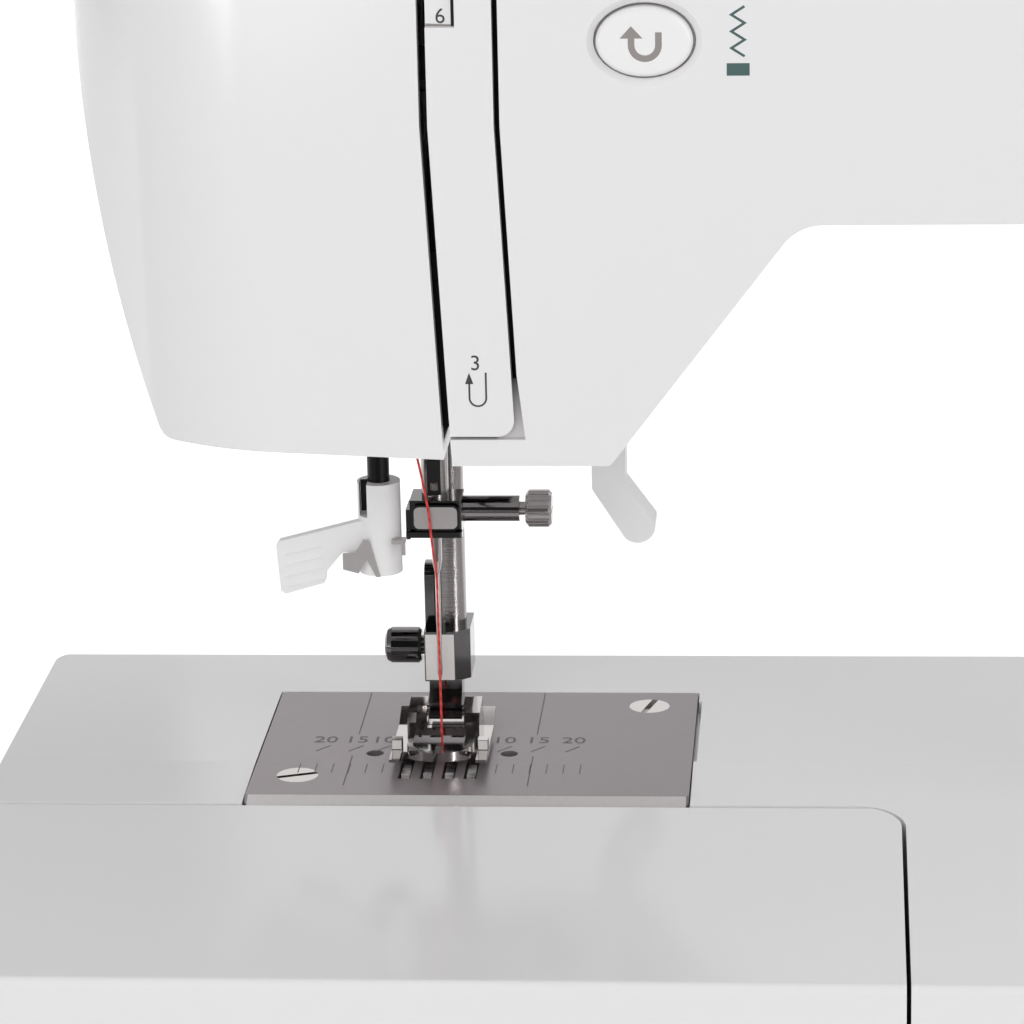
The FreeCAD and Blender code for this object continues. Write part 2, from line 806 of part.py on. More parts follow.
def arm_block(name, inset, low):
    """The whole arm as the common part of its front, plan and side outlines."""
    front_view = arm_outline(name + "_front", inset, low, ("arm_front - 1", "arm_back + 1"), [
        (f"3.2 - {inset}", [0]) if inset == "0" else ("0.4", [0]),
        (f"slope_corner + {inset}", [4]),
        (f"throat_corner + {inset}", [5]),
        (f"pillar_plan_corner - {inset}", [8]),
        (f"top_edge + 8 - {inset}", [9]),
    ])
    plan = prism(
        name + "_plan", "XY",
        [
            (f"head_left + {inset}", f"arm_front + {inset}"),
            (f"housing_right - {inset}", f"arm_front + {inset}"),
            (f"housing_right - {inset}", f"arm_back - {inset}"),
            (f"head_left + {inset}", f"arm_back - {inset}"),
        ],
        ("bed_height - 2", "arm_top + 1"),
        [
            (f"head_plan_corner - {inset}", [0]),
            (f"pillar_plan_corner - {inset}", [1, 2]),
            (f"head_plan_corner * 0.6 - {inset}", [3]),
        ],
    )
    side = prism(
        name + "_side", "YZ",
        [
            (f"arm_front + {inset}", "bed_height - 2"),
            (f"arm_back - {inset}", "bed_height - 2"),
            (f"arm_back - {inset}", f"arm_top - {inset}"),
            (f"arm_front + {inset}", f"arm_top - {inset}"),
        ],
        ("head_left - 1", "housing_right + 1"),
        [(f"top_edge - {inset}", [2, 3])],
    )
    return common(name, [front_view, plan, side])


def oval(name, spot, span, half_width, half_height):
    """An upright oval prism through the front."""
    curve = made("Part::Ellipse", name + "_curve")
    bind(curve, MajorRadius=half_width, MinorRadius=half_height)
    place(curve, spot[0], span[0], spot[1], turn="XZ")
    prismatic = made("Part::Extrusion", name)
    prismatic.Base = curve
    prismatic.DirMode = "Custom"
    prismatic.Dir = Vector(0, 1, 0)
    prismatic.Solid = True
    bind(prismatic, LengthFwd=f"({span[1]}) - ({span[0]})")
    return prismatic


def button_dish(spot):
    """The shallow hollow that runs down to the button's hole, as a tool."""
    rims = []
    steps = (("outer", "arm_front - 0.05", "button_dish + 0.5"), ("inner", "arm_front + dish_depth", "0.5"))
    for name, depth, grow in steps:
        rim = made("Part::Ellipse", f"dish_rim_{name}")
        bind(rim, MajorRadius=f"button_half_width + {grow}", MinorRadius=f"button_half_height + {grow}")
        place(rim, spot[0], depth, spot[1], turn="XZ")
        rims.append(rim)
    hollow = made("Part::Loft", "button_dish")
    hollow.Sections = rims
    hollow.Solid = True
    hollow.Ruled = True
    return hollow


def cover_group():
    outer = arm_block("arm_outer", "0", "bed_height")
    inner = arm_block("arm_inner", "wall", "bed_height - 1")
    shell = cut("arm_shell", outer, [inner])
    front_depth = ("arm_front - 2", "split_y - seam / 2")
    cover_high = "cover_split - seam"

    bars_window = box(
        "bars_window", ("needle_x - 18", "needle_x + 13"),
        ("needle_y - 13", "needle_y + 26"), ("head_bottom - 1", "head_bottom + wall + 4"),
    )
    face_space = prism(
        "face_space", "XZ",
        [
            ("head_left - 3", "head_bottom - 2"),
            ("face_right_low", "head_bottom - 2"),
            ("face_right_low", "head_bottom"),
            ("face_right_high", "slot_bend"),
            ("face_right_high", cover_high),
            ("head_left - 3", cover_high),
        ],
        front_depth,
    )
    face = common("face_shell", [shell, face_space])
    node(cut("face_cover", face, [bars_window]), "face_cover")

    strip_depth = ("arm_front - 2", "arm_front + wall + 0.1")
    strip_space = prism(
        "strip_space", "XZ",
        [
            ("strip_left_low", "strip_bottom"),
            ("strip_left_low + strip_width", "strip_bottom"),
            ("strip_left_high + strip_width", "slot_bend"),
            ("strip_left_high + strip_width", cover_high),
            ("strip_left_high", cover_high),
            ("strip_left_high", "slot_bend"),
        ],
        strip_depth,
        [("strip_corner", [1])],
    )
    tab_window = box(
        "tab_window", ("strip_left_high - 1", "strip_left_high + 5.2"),
        ("arm_front - 2", "arm_front + 1.1"), ("tab_low - 0.3", "tab_low + 16"),
    )
    node(cut("thread_strip", common("strip_shell", [shell, strip_space]), [tab_window]), "thread_strip")

    gap = "strip_width + right_slot_width"
    front_space = prism(
        "front_space", "XZ",
        [
            ("ledge_left", "bed_height - 2"),
            ("housing_right + 2", "bed_height - 2"),
            ("housing_right + 2", cover_high),
            (f"strip_left_high + {gap}", cover_high),
            (f"strip_left_high + {gap}", "slot_bend"),
            (f"strip_left_low + {gap}", "strip_bottom - 2 * seam"),
            ("strip_left_low", "strip_bottom - 2 * seam"),
            ("ledge_left", "head_bottom"),
        ],
        front_depth,
    )
    slot_edge = f"strip_left_low + {gap}"
    recess_low = "strip_bottom - 2 * seam"
    recess = prism(
        "slot_recess", "XZ",
        [
            (f"{slot_edge} - right_slot_width - 0.3", recess_low),
            (f"{slot_edge} + recess_width", recess_low),
            (f"{slot_edge} - slot_lean * recess_rise", f"{recess_low} + recess_rise"),
        ],
        ("arm_front - 2", "arm_front + wall + 0.5"),
    )
    button_spot = ("needle_x + button_reach", "bed_height + button_rise")
    through = ("arm_front - 2", "arm_front + wall + 2")
    front_tools = [
        bars_window,
        recess,
        oval("button_hole", button_spot, through, "button_half_width + 0.5", "button_half_height + 0.5"),
        button_dish(button_spot),
        rod("stitch_hole", "Y", ("dial_x", "stitch_z"), through, "6.4"),
        rod("length_hole", "Y", ("dial_x", "length_z"), through, "4.4"),
        rod("shaft_hole", "X", ("needle_y", "shaft_z"), ("housing_right - 8", "housing_right + 2"), "9"),
        box(
            "switch_hole", ("housing_right - wall - 2", "housing_right + 2"),
            ("needle_y - 20.3", "needle_y - 7.7"), ("switch_z - 10.3", "switch_z + 10.3"),
        ),
    ]
    front_cover = cut("front_cover", common("front_shell", [shell, front_space]), front_tools)
    node(front_cover, "front_cover")

    rear_space = box(
        "rear_space", ("head_left - 2", "housing_right + 2"),
        ("split_y + seam / 2", "arm_back + 2"), ("bed_height - 1", cover_high),
    )
    rear_tools = [
        bars_window,
        box(
            "lifter_slot", ("lifter_x - 12", "head_right + 14"),
            ("needle_y + 16", "needle_y + 30"), ("head_bottom - 1", "head_bottom + 18"),
        ),
        rod("rear_shaft_hole", "X", ("needle_y", "shaft_z"), ("housing_right - 8", "housing_right + 2"), "9"),
        box(
            "inlet_hole", ("housing_right - wall - 2", "housing_right + 2"),
            ("needle_y + 4", "needle_y + 22"), ("switch_z - 8", "switch_z + 8"),
        ),
        rod(
            "lamp_hole", "Z", ("needle_x - 27", "needle_y + 16"),
            ("head_bottom - 1", "head_bottom + wall + 4"), "7.2",
        ),
    ]
    screws = []
    for order, (spot_x, spot_z) in enumerate((
        ("needle_x - 30", "tab_low - 20"),
        ("needle_x + 70", "arm_bottom + 22"),
        ("pillar_left + 16", "bed_height + 30"),
        ("housing_right - 20", "bed_height + 30"),
        ("housing_right - 20", "cover_split - 24"),
    )):
        spot = (spot_x, spot_z)
        rear_tools.append(rod(f"cover_bore_{order}", "Y", spot, ("arm_back - 1.4", "arm_back + 1"), "3.6"))
        hole_span = ("arm_back - wall - 1", "arm_back + 1")
        rear_tools.append(rod(f"cover_hole_{order}", "Y", spot, hole_span, "1.7"))
        head = rod(f"cover_head_{order}", "Y", spot, ("arm_back - 1.4", "arm_back - 0.2"), "3.4")
        shank = rod(f"cover_shank_{order}", "Y", spot, ("arm_back - wall - 4", "arm_back - 1"), "1.6")
        bars = [
            box(
                f"cover_cross_{order}_{turn}",
                (f"{spot_x} - {wide}", f"{spot_x} + {wide}"),
                ("arm_back - 0.9", "arm_back"),
                (f"{spot_z} - {tall}", f"{spot_z} + {tall}"),
            )
            for turn, (wide, tall) in enumerate(((2, 0.45), (0.45, 2)))
        ]
        screws.append(cut(f"cover_screw_{order}", fuse(f"cover_blank_{order}", [head, shank]), bars))
    rear_cover = cut("rear_cover", common("rear_shell", [shell, rear_space]), rear_tools)
    node(rear_cover, "rear_cover")
    node(group("cover_screws", screws), "cover_screws")

    top_space = box(
        "top_space", ("head_left - 2", "housing_right + 2"),
        ("arm_front - 2", "arm_back + 2"), ("cover_split", "arm_top + 2"),
    )
    top = common("top_shell", [shell, top_space])
    ears = []
    for order, side in enumerate(("-", "+")):
        inner_face = f"handle_x {side} (handle_half + seam)"
        outer_face = f"handle_x {side} (handle_half + 5)"
        pin_end = f"handle_x {side} (handle_half - 6)"
        span = (inner_face, outer_face) if side == "+" else (outer_face, inner_face)
        reach = (pin_end, outer_face) if side == "+" else (outer_face, pin_end)
        foot = box(
            f"handle_ear_{order}", span, ("handle_y - 5", "handle_y + 5"), ("arm_top - 1", "handle_z")
        )
        cap = rod(f"handle_ear_cap_{order}", "X", ("handle_y", "handle_z"), span, "5")
        pivot = rod(f"handle_pin_{order}", "X", ("handle_y", "handle_z"), reach, "2")
        ears += [foot, cap, pivot]
    carriers = []
    for order, side in enumerate(("-", "+")):
        near = f"tension_x {side} 5"
        far = f"tension_x {side} 8"
        span = (near, far) if side == "+" else (far, near)
        carriers.append(box(
            f"tension_carrier_{order}", span, ("tension_y - 4", "tension_y + 4"),
            ("tension_z - 4", "arm_top - wall + 0.5"),
        ))
    axle = rod("tension_axle", "X", ("tension_y", "tension_z"), ("tension_x - 6", "tension_x + 6"), "2")
    spool_tube = ring(
        "spool_tube", "Z", ("spool_x", "spool_y"), ("arm_top - 14", "arm_top - wall + 0.5"),
        "pin_radius + 2.5", "pin_radius + running_fit",
    )
    winder_tube = ring(
        "winder_tube", "Z", ("winder_x", "winder_y"), ("cover_split + 4", "arm_top - wall + 0.5"),
        "5.5", "3 + running_fit",
    )
    top_tools = [
        box(
            "tension_slot", ("tension_x - 4.5", "tension_x + 4.5"),
            ("tension_y - tension_radius - 1", "tension_y + tension_radius + 1"),
            ("arm_top - wall - 1", "arm_top + 2"),
        ),
        rod("spool_hole", "Z", ("spool_x", "spool_y"), ("cover_split", "arm_top + 2"),
            "pin_radius + running_fit"),
        rod("winder_hole", "Z", ("winder_x", "winder_y"), ("cover_split", "arm_top + 2"), "3 + running_fit"),
    ]
    solid_top = cut("top_open", fuse("top_body", [top] + ears), top_tools)
    fittings = carriers + [axle, spool_tube, winder_tube]
    node(fuse("top_cover", [solid_top] + fittings), "top_cover")

    liner_x = ("needle_x - 2", "needle_x + 27")
    plate = box("liner_plate", liner_x, ("arm_front + wall + 4", "arm_front + wall + 6"), (
        "strip_bottom", "cover_split - 4"))
    rib = box(
        "liner_rib", ("needle_x + 24", "needle_x + 27"),
        ("arm_front + wall", "arm_front + wall + 4.5"), ("strip_bottom", "cover_split - 4"),
    )
    tab = box(
        "liner_tab", ("strip_left_high + 0.4", "strip_left_high + 8"),
        ("arm_front + wall", "arm_front + wall + 4.5"), ("tab_low - 8", "tab_low + 24"),
    )
    path = box(
        "take_up_path", ("take_up_x - 1.2", "take_up_x + 1.2"),
        ("arm_front", "arm_front + 20"), ("arm_bottom - 6", "cover_split"),
    )
    node(cut("liner_cut", fuse("liner_body", [plate, rib, tab]), [path]), "head_liner")

    lamp_z = ("head_bottom + 2.2", "head_bottom + 10")
    lamp = rod("lamp_body", "Z", ("needle_x - 27", "needle_y + 16"), lamp_z, "7")
    flange = rod(
        "lamp_flange", "Z", ("needle_x - 27", "needle_y + 16"),
        ("head_bottom + wall + head_rise_left", "head_bottom + 8"), "9",
    )
    node(fuse("lamp", [lamp, flange]), "lamp")


# Frame and drive

def bearing(name, axis, centre, span, radius):
    """A bush for a shaft, and the cutter that seats it in the frame."""
    bush = ring(name, axis, centre, span, f"{radius} + bush_wall", f"{radius} + running_fit")
    seat = rod(name + "_seat", axis, centre, span, f"{radius} + bush_wall")
    return bush, seat


def frame_group():
    main = ("needle_y", "shaft_z")
    lower = ("lower_y", "hook_z")
    main_lugs = [("needle_x + 34", "needle_x + 42"), ("timing_x + 14", "timing_x + 22")]
    lower_lugs = [("needle_x + 30", "needle_x + 38"), ("timing_x - 16", "timing_x - 8")]
    parts = [
        box("frame_beam", ("needle_x - 12", "frame_right"), ("beam_front", "beam_back"),
            ("beam_low", "beam_high")),
        box("frame_column", ("frame_right - 16", "frame_right"), ("beam_front", "beam_back"), (
            "frame_floor", "beam_high")),
        box("frame_bed", ("left + wall + 4", "frame_right"), ("table_back + wall + 1", "back - wall - 4"), (
            "frame_floor", "frame_floor_top")),
        box("frame_leg", ("table_right + wall + 4", "frame_right"), ("beam_front - 20", "beam_back"), (
            "base_top", "frame_floor_top")),
        box("head_post", ("needle_x - 11", "needle_x + 2.5"), ("needle_y + 26", "beam_back"), (
            "head_bottom + head_rise_left + wall + 0.5", "beam_high")),
        box("presser_lug_low", ("needle_x - 6", "needle_x + 8"), ("presser_y - 5.4", "needle_y + 27"), (
            "head_bottom + wall + 3", "head_bottom + wall + 6.5")),
        box("presser_lug_high", ("needle_x - 6", "needle_x + 8"), ("presser_y - 5.4", "needle_y + 27"), (
            "shaft_z - 46", "shaft_z - 41")),
        rod("take_up_pin", "X", ("take_up_y", "take_up_z"), ("needle_x", "take_up_x + 3"), "2.5"),
        rod("bar_frame_pin", "Y", ("bar_frame_x", "bar_frame_z"), ("needle_y + 0.5", "needle_y + 28"), "2.5"),
        rod("feed_post", "Z", ("needle_x - 14", "needle_y + 30"), ("frame_floor", "plate_under - 4.5"), "3"),
        box("hook_lug", ("needle_x - 8", "needle_x + 8"), ("needle_y + 9.2", "needle_y + 13.8"), (
            "frame_floor", "hook_z + 8")),
        box("motor_seat", ("pillar_left + 9", "pillar_left + motor_length"), (
            "motor_y - 18", "motor_y - 2"), ("frame_floor", "motor_z")),
        box("lifter_lug", ("lifter_x - 3", "lifter_x + 3"), ("needle_y + 29", "beam_back"), (
            "lifter_z - 4", "beam_low + 1")),
        rod("lifter_pin", "Y", ("lifter_x", "lifter_z"), ("needle_y + 19.5", "needle_y + 30"), "2"),
    ]
    cutters = []
    bushes = []
    for order, span in enumerate(main_lugs):
        parts.append(box(f"main_lug_{order}", span, ("needle_y - 10", "beam_front + 1"), (
            "shaft_z - 10", "shaft_z + 10")))
        bush, seat = bearing(f"main_bush_{order}", "X", main, span, "shaft_radius")
        bushes.append(bush)
        cutters.append(seat)
    for order, span in enumerate(lower_lugs):
        parts.append(box(f"lower_lug_{order}", span, ("lower_y - 9", "lower_y + 9"), (
            "frame_floor", "hook_z + 9")))
        bush, seat = bearing(f"lower_bush_{order}", "X", lower, span, "lower_shaft_radius")
        bushes.append(bush)
        cutters.append(seat)
    cutters += [
        rod("presser_bore", "Z", ("presser_x", "presser_y"), ("head_bottom", "shaft_z"), (
            "presser_bar_radius + running_fit")),
        rod("hook_bore", "Y", ("needle_x", "hook_z"), ("needle_y + 9", "needle_y + 15"), (
            "lower_shaft_radius + running_fit")),
        rod("motor_nest", "X", ("motor_y", "motor_z"), ("pillar_left", "pillar_left + 50"), "motor_radius"),
        rod("drive_clear", "X", main, ("drive_x - 5", "drive_x + belt_width + 6"), "drive_radius + 6"),
    ]
    node(cut("frame_cut", fuse("frame_body", parts), cutters), "frame")
    node(group("bushes", bushes), "shaft_bushings")


def loop_face(plane_x, first, first_radius, second, second_radius):
    """The face inside a belt line round two pulleys."""
    run = second - first
    lean = math.atan2(run.z, run.y)
    spread = math.acos((first_radius - second_radius) / run.Length)

    def spot(centre, radius, angle):
        return Vector(plane_x, centre.y + radius * math.cos(angle), centre.z + radius * math.sin(angle))

    a = spot(first, first_radius, lean + spread)
    b = spot(first, first_radius, lean + math.pi)
    c = spot(first, first_radius, lean - spread)
    d = spot(second, second_radius, lean - spread)
    e = spot(second, second_radius, lean)
    f = spot(second, second_radius, lean + spread)
    edges = [
        Part.Arc(a, b, c).toShape(),
        Part.makeLine(c, d),
        Part.Arc(d, e, f).toShape(),
        Part.makeLine(f, a),
    ]
    return Part.Face(Part.Wire(edges))


def belt(name, low_x, first, first_radius, second, second_radius):
    """A flat belt round two pulleys that turn about X."""
    plane_x = val(low_x)
    ends = [Vector(plane_x, val(spot[0]), val(spot[1])) for spot in (first, second)]
    faces = []
    for extra in (val("belt_thickness"), 0):
        radii = (val(first_radius) + extra, val(second_radius) + extra)
        faces.append(loop_face(plane_x, ends[0], radii[0], ends[1], radii[1]))
    band = faces[0].cut(faces[1])
    return node(feature(name, band.extrude(Vector(val("belt_width"), 0, 0)).Solids[0]), name)


def pulley(name, axis_at, low_x, radius, bore):
    """A flanged belt pulley on X, its groove a belt wide with room to run."""
    wide = "belt_width + 2"
    rim = f"{radius} + belt_thickness + 0.8"
    seat = f"{radius} - 0.05"
    profile = [
        (bore, "-1.8"),
        (rim, "-1.8"),
        (rim, "-1"),
        (seat, "-1"),
        (seat, f"{wide} - 1"),
        (rim, f"{wide} - 1"),
        (rim, f"{wide} - 0.2"),
        (bore, f"{wide} - 0.2"),
    ]
    return turned(name, "X", axis_at, low_x, profile)


def drive_group():
    main = ("needle_y", "shaft_z")
    lower = ("lower_y", "hook_z")
    motor = ("motor_y", "motor_z")
    crank_x = "needle_x + 16"
    shaft_span = (f"{crank_x} + 8", "overall_width / 2 - 8")
    node(rod("main_shaft", "X", main, shaft_span, "shaft_radius"), "main_shaft")
    disc = rod("crank_disc_body", "X", main, (crank_x, f"{crank_x} + 8"), "crank_disc")
    pin = rod("crank_pin", "X", ("needle_y", "shaft_z + crank_radius"), (f"{crank_x} - 6.8", crank_x), "3")
    node(fuse("needle_crank", [disc, pin]), "needle_crank")
    link_x = (f"{crank_x} - 6.4", f"{crank_x} - 2.6")
    eye_high = ("needle_y", "shaft_z + crank_radius")
    eye_low = ("needle_y", "shaft_z + crank_radius - link_length")
    link = fuse("link_body", [
        rod("link_eye_high", "X", eye_high, link_x, "5.5"),
        rod("link_eye_low", "X", eye_low, link_x, "5"),
        box("link_rod", link_x, ("needle_y - 3", "needle_y + 3"), (eye_low[1], eye_high[1])),
    ])
    link_bore = rod("link_bore", "X", eye_high, link_x, "3 + running_fit")
    node(cut("needle_link", link, [link_bore]), "needle_link")
    sheaves = [
        pulley("timing_sheave", main, "timing_x", "timing_radius", "shaft_radius"),
        pulley("drive_sheave", main, "drive_x", "drive_radius", "shaft_radius"),
    ]
    node(group("main_pulleys", sheaves), "main_pulleys")
    wheel_profile = [
        ("shaft_radius", "0"),
        ("wheel_radius - 4", "0"),
        ("wheel_radius", "4"),
        ("wheel_radius", "wheel_width - 5"),
        ("wheel_radius - 3", "wheel_width - 1.5"),
        ("wheel_radius - 8", "wheel_width - 1.5"),
        ("wheel_radius - 10", "wheel_width - 8"),
        ("14", "wheel_width - 8"),
        ("12", "wheel_width"),
        ("0", "wheel_width"),
        ("0", "wheel_width - 8"),
        ("shaft_radius", "wheel_width - 8"),
    ]
    wheel = turned("wheel_blank", "X", main, "housing_right + wheel_gap", wheel_profile)
    grips = []
    for step in range(12):
        turn = math.radians(30 * step)
        spot = (
            f"needle_y + (wheel_radius + 1.6) * {math.cos(turn):.6f}",
            f"shaft_z + (wheel_radius + 1.6) * {math.sin(turn):.6f}",
        )
        grips.append(rod(f"wheel_grip_{step}", "X", spot, (
            "housing_right + wheel_gap - 1", "overall_width / 2 + 1"), "3"))
    node(cut("handwheel", wheel, grips), "handwheel")

    body = turned("motor_body", "X", motor, "pillar_left + 9", [
        ("0", "0"),
        ("motor_radius - 6", "0"),
        ("motor_radius - 6", "3"),
        ("motor_radius", "3"),
        ("motor_radius", "motor_length - 5"),
        ("motor_radius - 5", "motor_length - 5"),
        ("motor_radius - 5", "motor_length"),
        ("3 + running_fit", "motor_length"),
        ("3 + running_fit", "10"),
        ("0", "10"),
    ])
    node(body, "motor")
    spindle = rod("motor_spindle", "X", motor, ("pillar_left + 20", "drive_x + belt_width + 2"), "3")
    small = pulley("motor_sheave", motor, "drive_x", "motor_pulley_radius", "3")
    node(fuse("motor_pulley", [spindle, small]), "motor_pulley")
    belt("motor_belt", "drive_x", main, "drive_radius", motor, "motor_pulley_radius")
    belt("timing_belt", "timing_x", main, "timing_radius", lower, "timing_radius")

    node(rod("lower_shaft", "X", lower, ("needle_x + 9", "timing_x + belt_width + 6"), (
        "lower_shaft_radius")), "lower_shaft")


# Hook and bobbin

def bevel_gear(pitch_radius, apex_reach, teeth, face, hub, phase):
    """A straight bevel gear with its apex at the origin, its back towards +Z."""
    slant = math.hypot(pitch_radius, apex_reach)
    lean = math.atan2(pitch_radius, apex_reach)
    module = 2 * pitch_radius / teeth
    shrink = (slant - face) / slant
    outward = Vector(math.cos(lean), 0, -math.sin(lean))
    pitch_spot = Vector(pitch_radius, 0, apex_reach)
    half = 0.205 * math.pi * module
    slope = math.tan(math.radians(20))
    corners = []
    for height, side in ((-1.5, 1), (0.85, 1), (0.85, -1), (-1.5, -1)):
        rise = height * module
        corners.append(pitch_spot + outward * rise + Vector(0, side * (half - rise * slope), 0))
    loops = []
    for scale in (1, shrink):
        spots = [corner * scale for corner in corners]
        loops.append(Part.makePolygon(spots + spots[:1]))
    tooth = Part.makeLoft(loops, True, True)
    drop = 1.15 * module
    back_radius = pitch_radius - drop * math.cos(lean)
    back_z = apex_reach + drop * math.sin(lean)
    tip_z = back_z * shrink
    body = Part.makeCone(back_radius * shrink, back_radius, back_z - tip_z, Vector(0, 0, tip_z))
    body = body.fuse(Part.makeCylinder(back_radius * 0.8, hub, Vector(0, 0, back_z)))
    ring_of_teeth = []
    for step in range(teeth):
        turned_tooth = tooth.copy()
        turned_tooth.rotate(Vector(), Vector(0, 0, 1), phase + 360 * step / teeth)
        ring_of_teeth.append(turned_tooth)
    return body.multiFuse(ring_of_teeth)


def hook_group():
    apex = Vector(val("needle_x"), val("lower_y"), val("hook_z"))
    pitch = val("hook_pitch")
    teeth = int(val("hook_teeth"))
    wheel = bevel_gear(2 * pitch, pitch, 2 * teeth, 5, 6, 0)
    gear = feature("hook_gear_blank", wheel)
    facing_x = Rotation(Vector(0, -1, 0), Vector(0, 0, -1), Vector(1, 0, 0), "ZXY")
    gear.Placement = Placement(apex, facing_x)
    lower = ("lower_y", "hook_z")
    gear_bore = rod("gear_bore", "X", lower, ("needle_x + 9", "needle_x + 30"), "lower_shaft_radius")
    wheels = [
        cut("hook_gear", gear, [gear_bore]),
        pulley("lower_pulley", lower, "timing_x", "timing_radius", "lower_shaft_radius"),
    ]
    node(group("lower_wheels", wheels), "lower_wheels")
    pinion = feature("hook_pinion", bevel_gear(pitch, 2 * pitch, teeth, 5, 1, 180 / teeth))
    facing_front = Rotation(Vector(1, 0, 0), Vector(0, 0, 1), Vector(0, -1, 0), "ZXY")
    pinion.Placement = Placement(apex, facing_front)
    centre = ("needle_x", "hook_z")
    spindle_span = ("needle_y + 7", "lower_y - 2 * hook_pitch + 1")
    spindle = rod("hook_spindle", "Y", centre, spindle_span, "lower_shaft_radius")
    cup = turned("hook_cup", "Y", centre, "needle_y", [
        ("0", "5.8"),
        ("hook_radius - 2.4", "5.8"),
        ("hook_radius - 2.4", "1.6"),
        ("hook_radius", "1.6"),
        ("hook_radius", "8.4"),
        ("0", "8.4"),
    ])
    point_gap = box(
        "hook_gap", ("needle_x - 6", "needle_x + 3"), ("needle_y + 1", "needle_y + 5.8"),
        ("hook_z + 6", "hook_z + hook_radius + 2"),
    )
    node(fuse("rotary_hook", [cut("hook_blade", cup, [point_gap]), spindle, pinion]), "rotary_hook")

    race = turned("race_ring", "Y", centre, "needle_y", [
        ("case_radius", "-13"),
        ("race_radius", "-13"),
        ("race_radius", "8.6"),
        ("hook_radius + 0.5", "8.6"),
        ("hook_radius + 0.5", "-1.4"),
        ("case_radius", "-1.4"),
    ])
    pedestal = box(
        "race_pedestal", ("needle_x - 9", "needle_x + 9"), ("needle_y - 12", "needle_y + 8"),
        ("frame_floor_top", "hook_z - case_radius"),
    )
    clear = rod("race_clear", "Y", centre, ("needle_y - 1.4", "needle_y + 9"), "hook_radius + 0.5")
    pocket = rod("race_pocket", "Y", centre, ("needle_y - 13", "needle_y"), "case_radius")
    notch = box(
        "race_notch", ("needle_x - 6.5", "needle_x + 6.5"), ("needle_y - 2.4", "needle_y + 2.4"),
        ("hook_z + 6", "hook_z + race_radius + 1"),
    )
    node(cut("hook_race", fuse("race_body", [race, pedestal]), [clear, pocket, notch]), "hook_race")


def bobbin_parts():
    centre = ("needle_x", "hook_z")
    case = turned("bobbin_case", "Y", centre, "needle_y", [
        ("0", "-12.6"),
        ("2.9", "-12.6"),
        ("2.9", "-3"),
        ("bobbin_radius + 0.5", "-3"),
        ("bobbin_radius + 0.5", "-12.6"),
        ("case_radius", "-12.6"),
        ("case_radius", "-1.8"),
        ("0", "-1.8"),
    ])
    node(case, "bobbin_case")
    spool = turned("bobbin", "Y", centre, "needle_y", [
        ("2.9 + running_fit", "-12.3"),
        ("bobbin_radius", "-12.3"),
        ("bobbin_radius", "-11.4"),
        ("4", "-11.4"),
        ("4", "-4.3"),
        ("bobbin_radius", "-4.3"),
        ("bobbin_radius", "-3.4"),
        ("2.9 + running_fit", "-3.4"),
    ])
    node(spool, "bobbin")


# Needle bar, clamp, needle and thread

def above(rise):
    """A height given from the top of the needle plate."""
    return f"bed_height + {rise}"


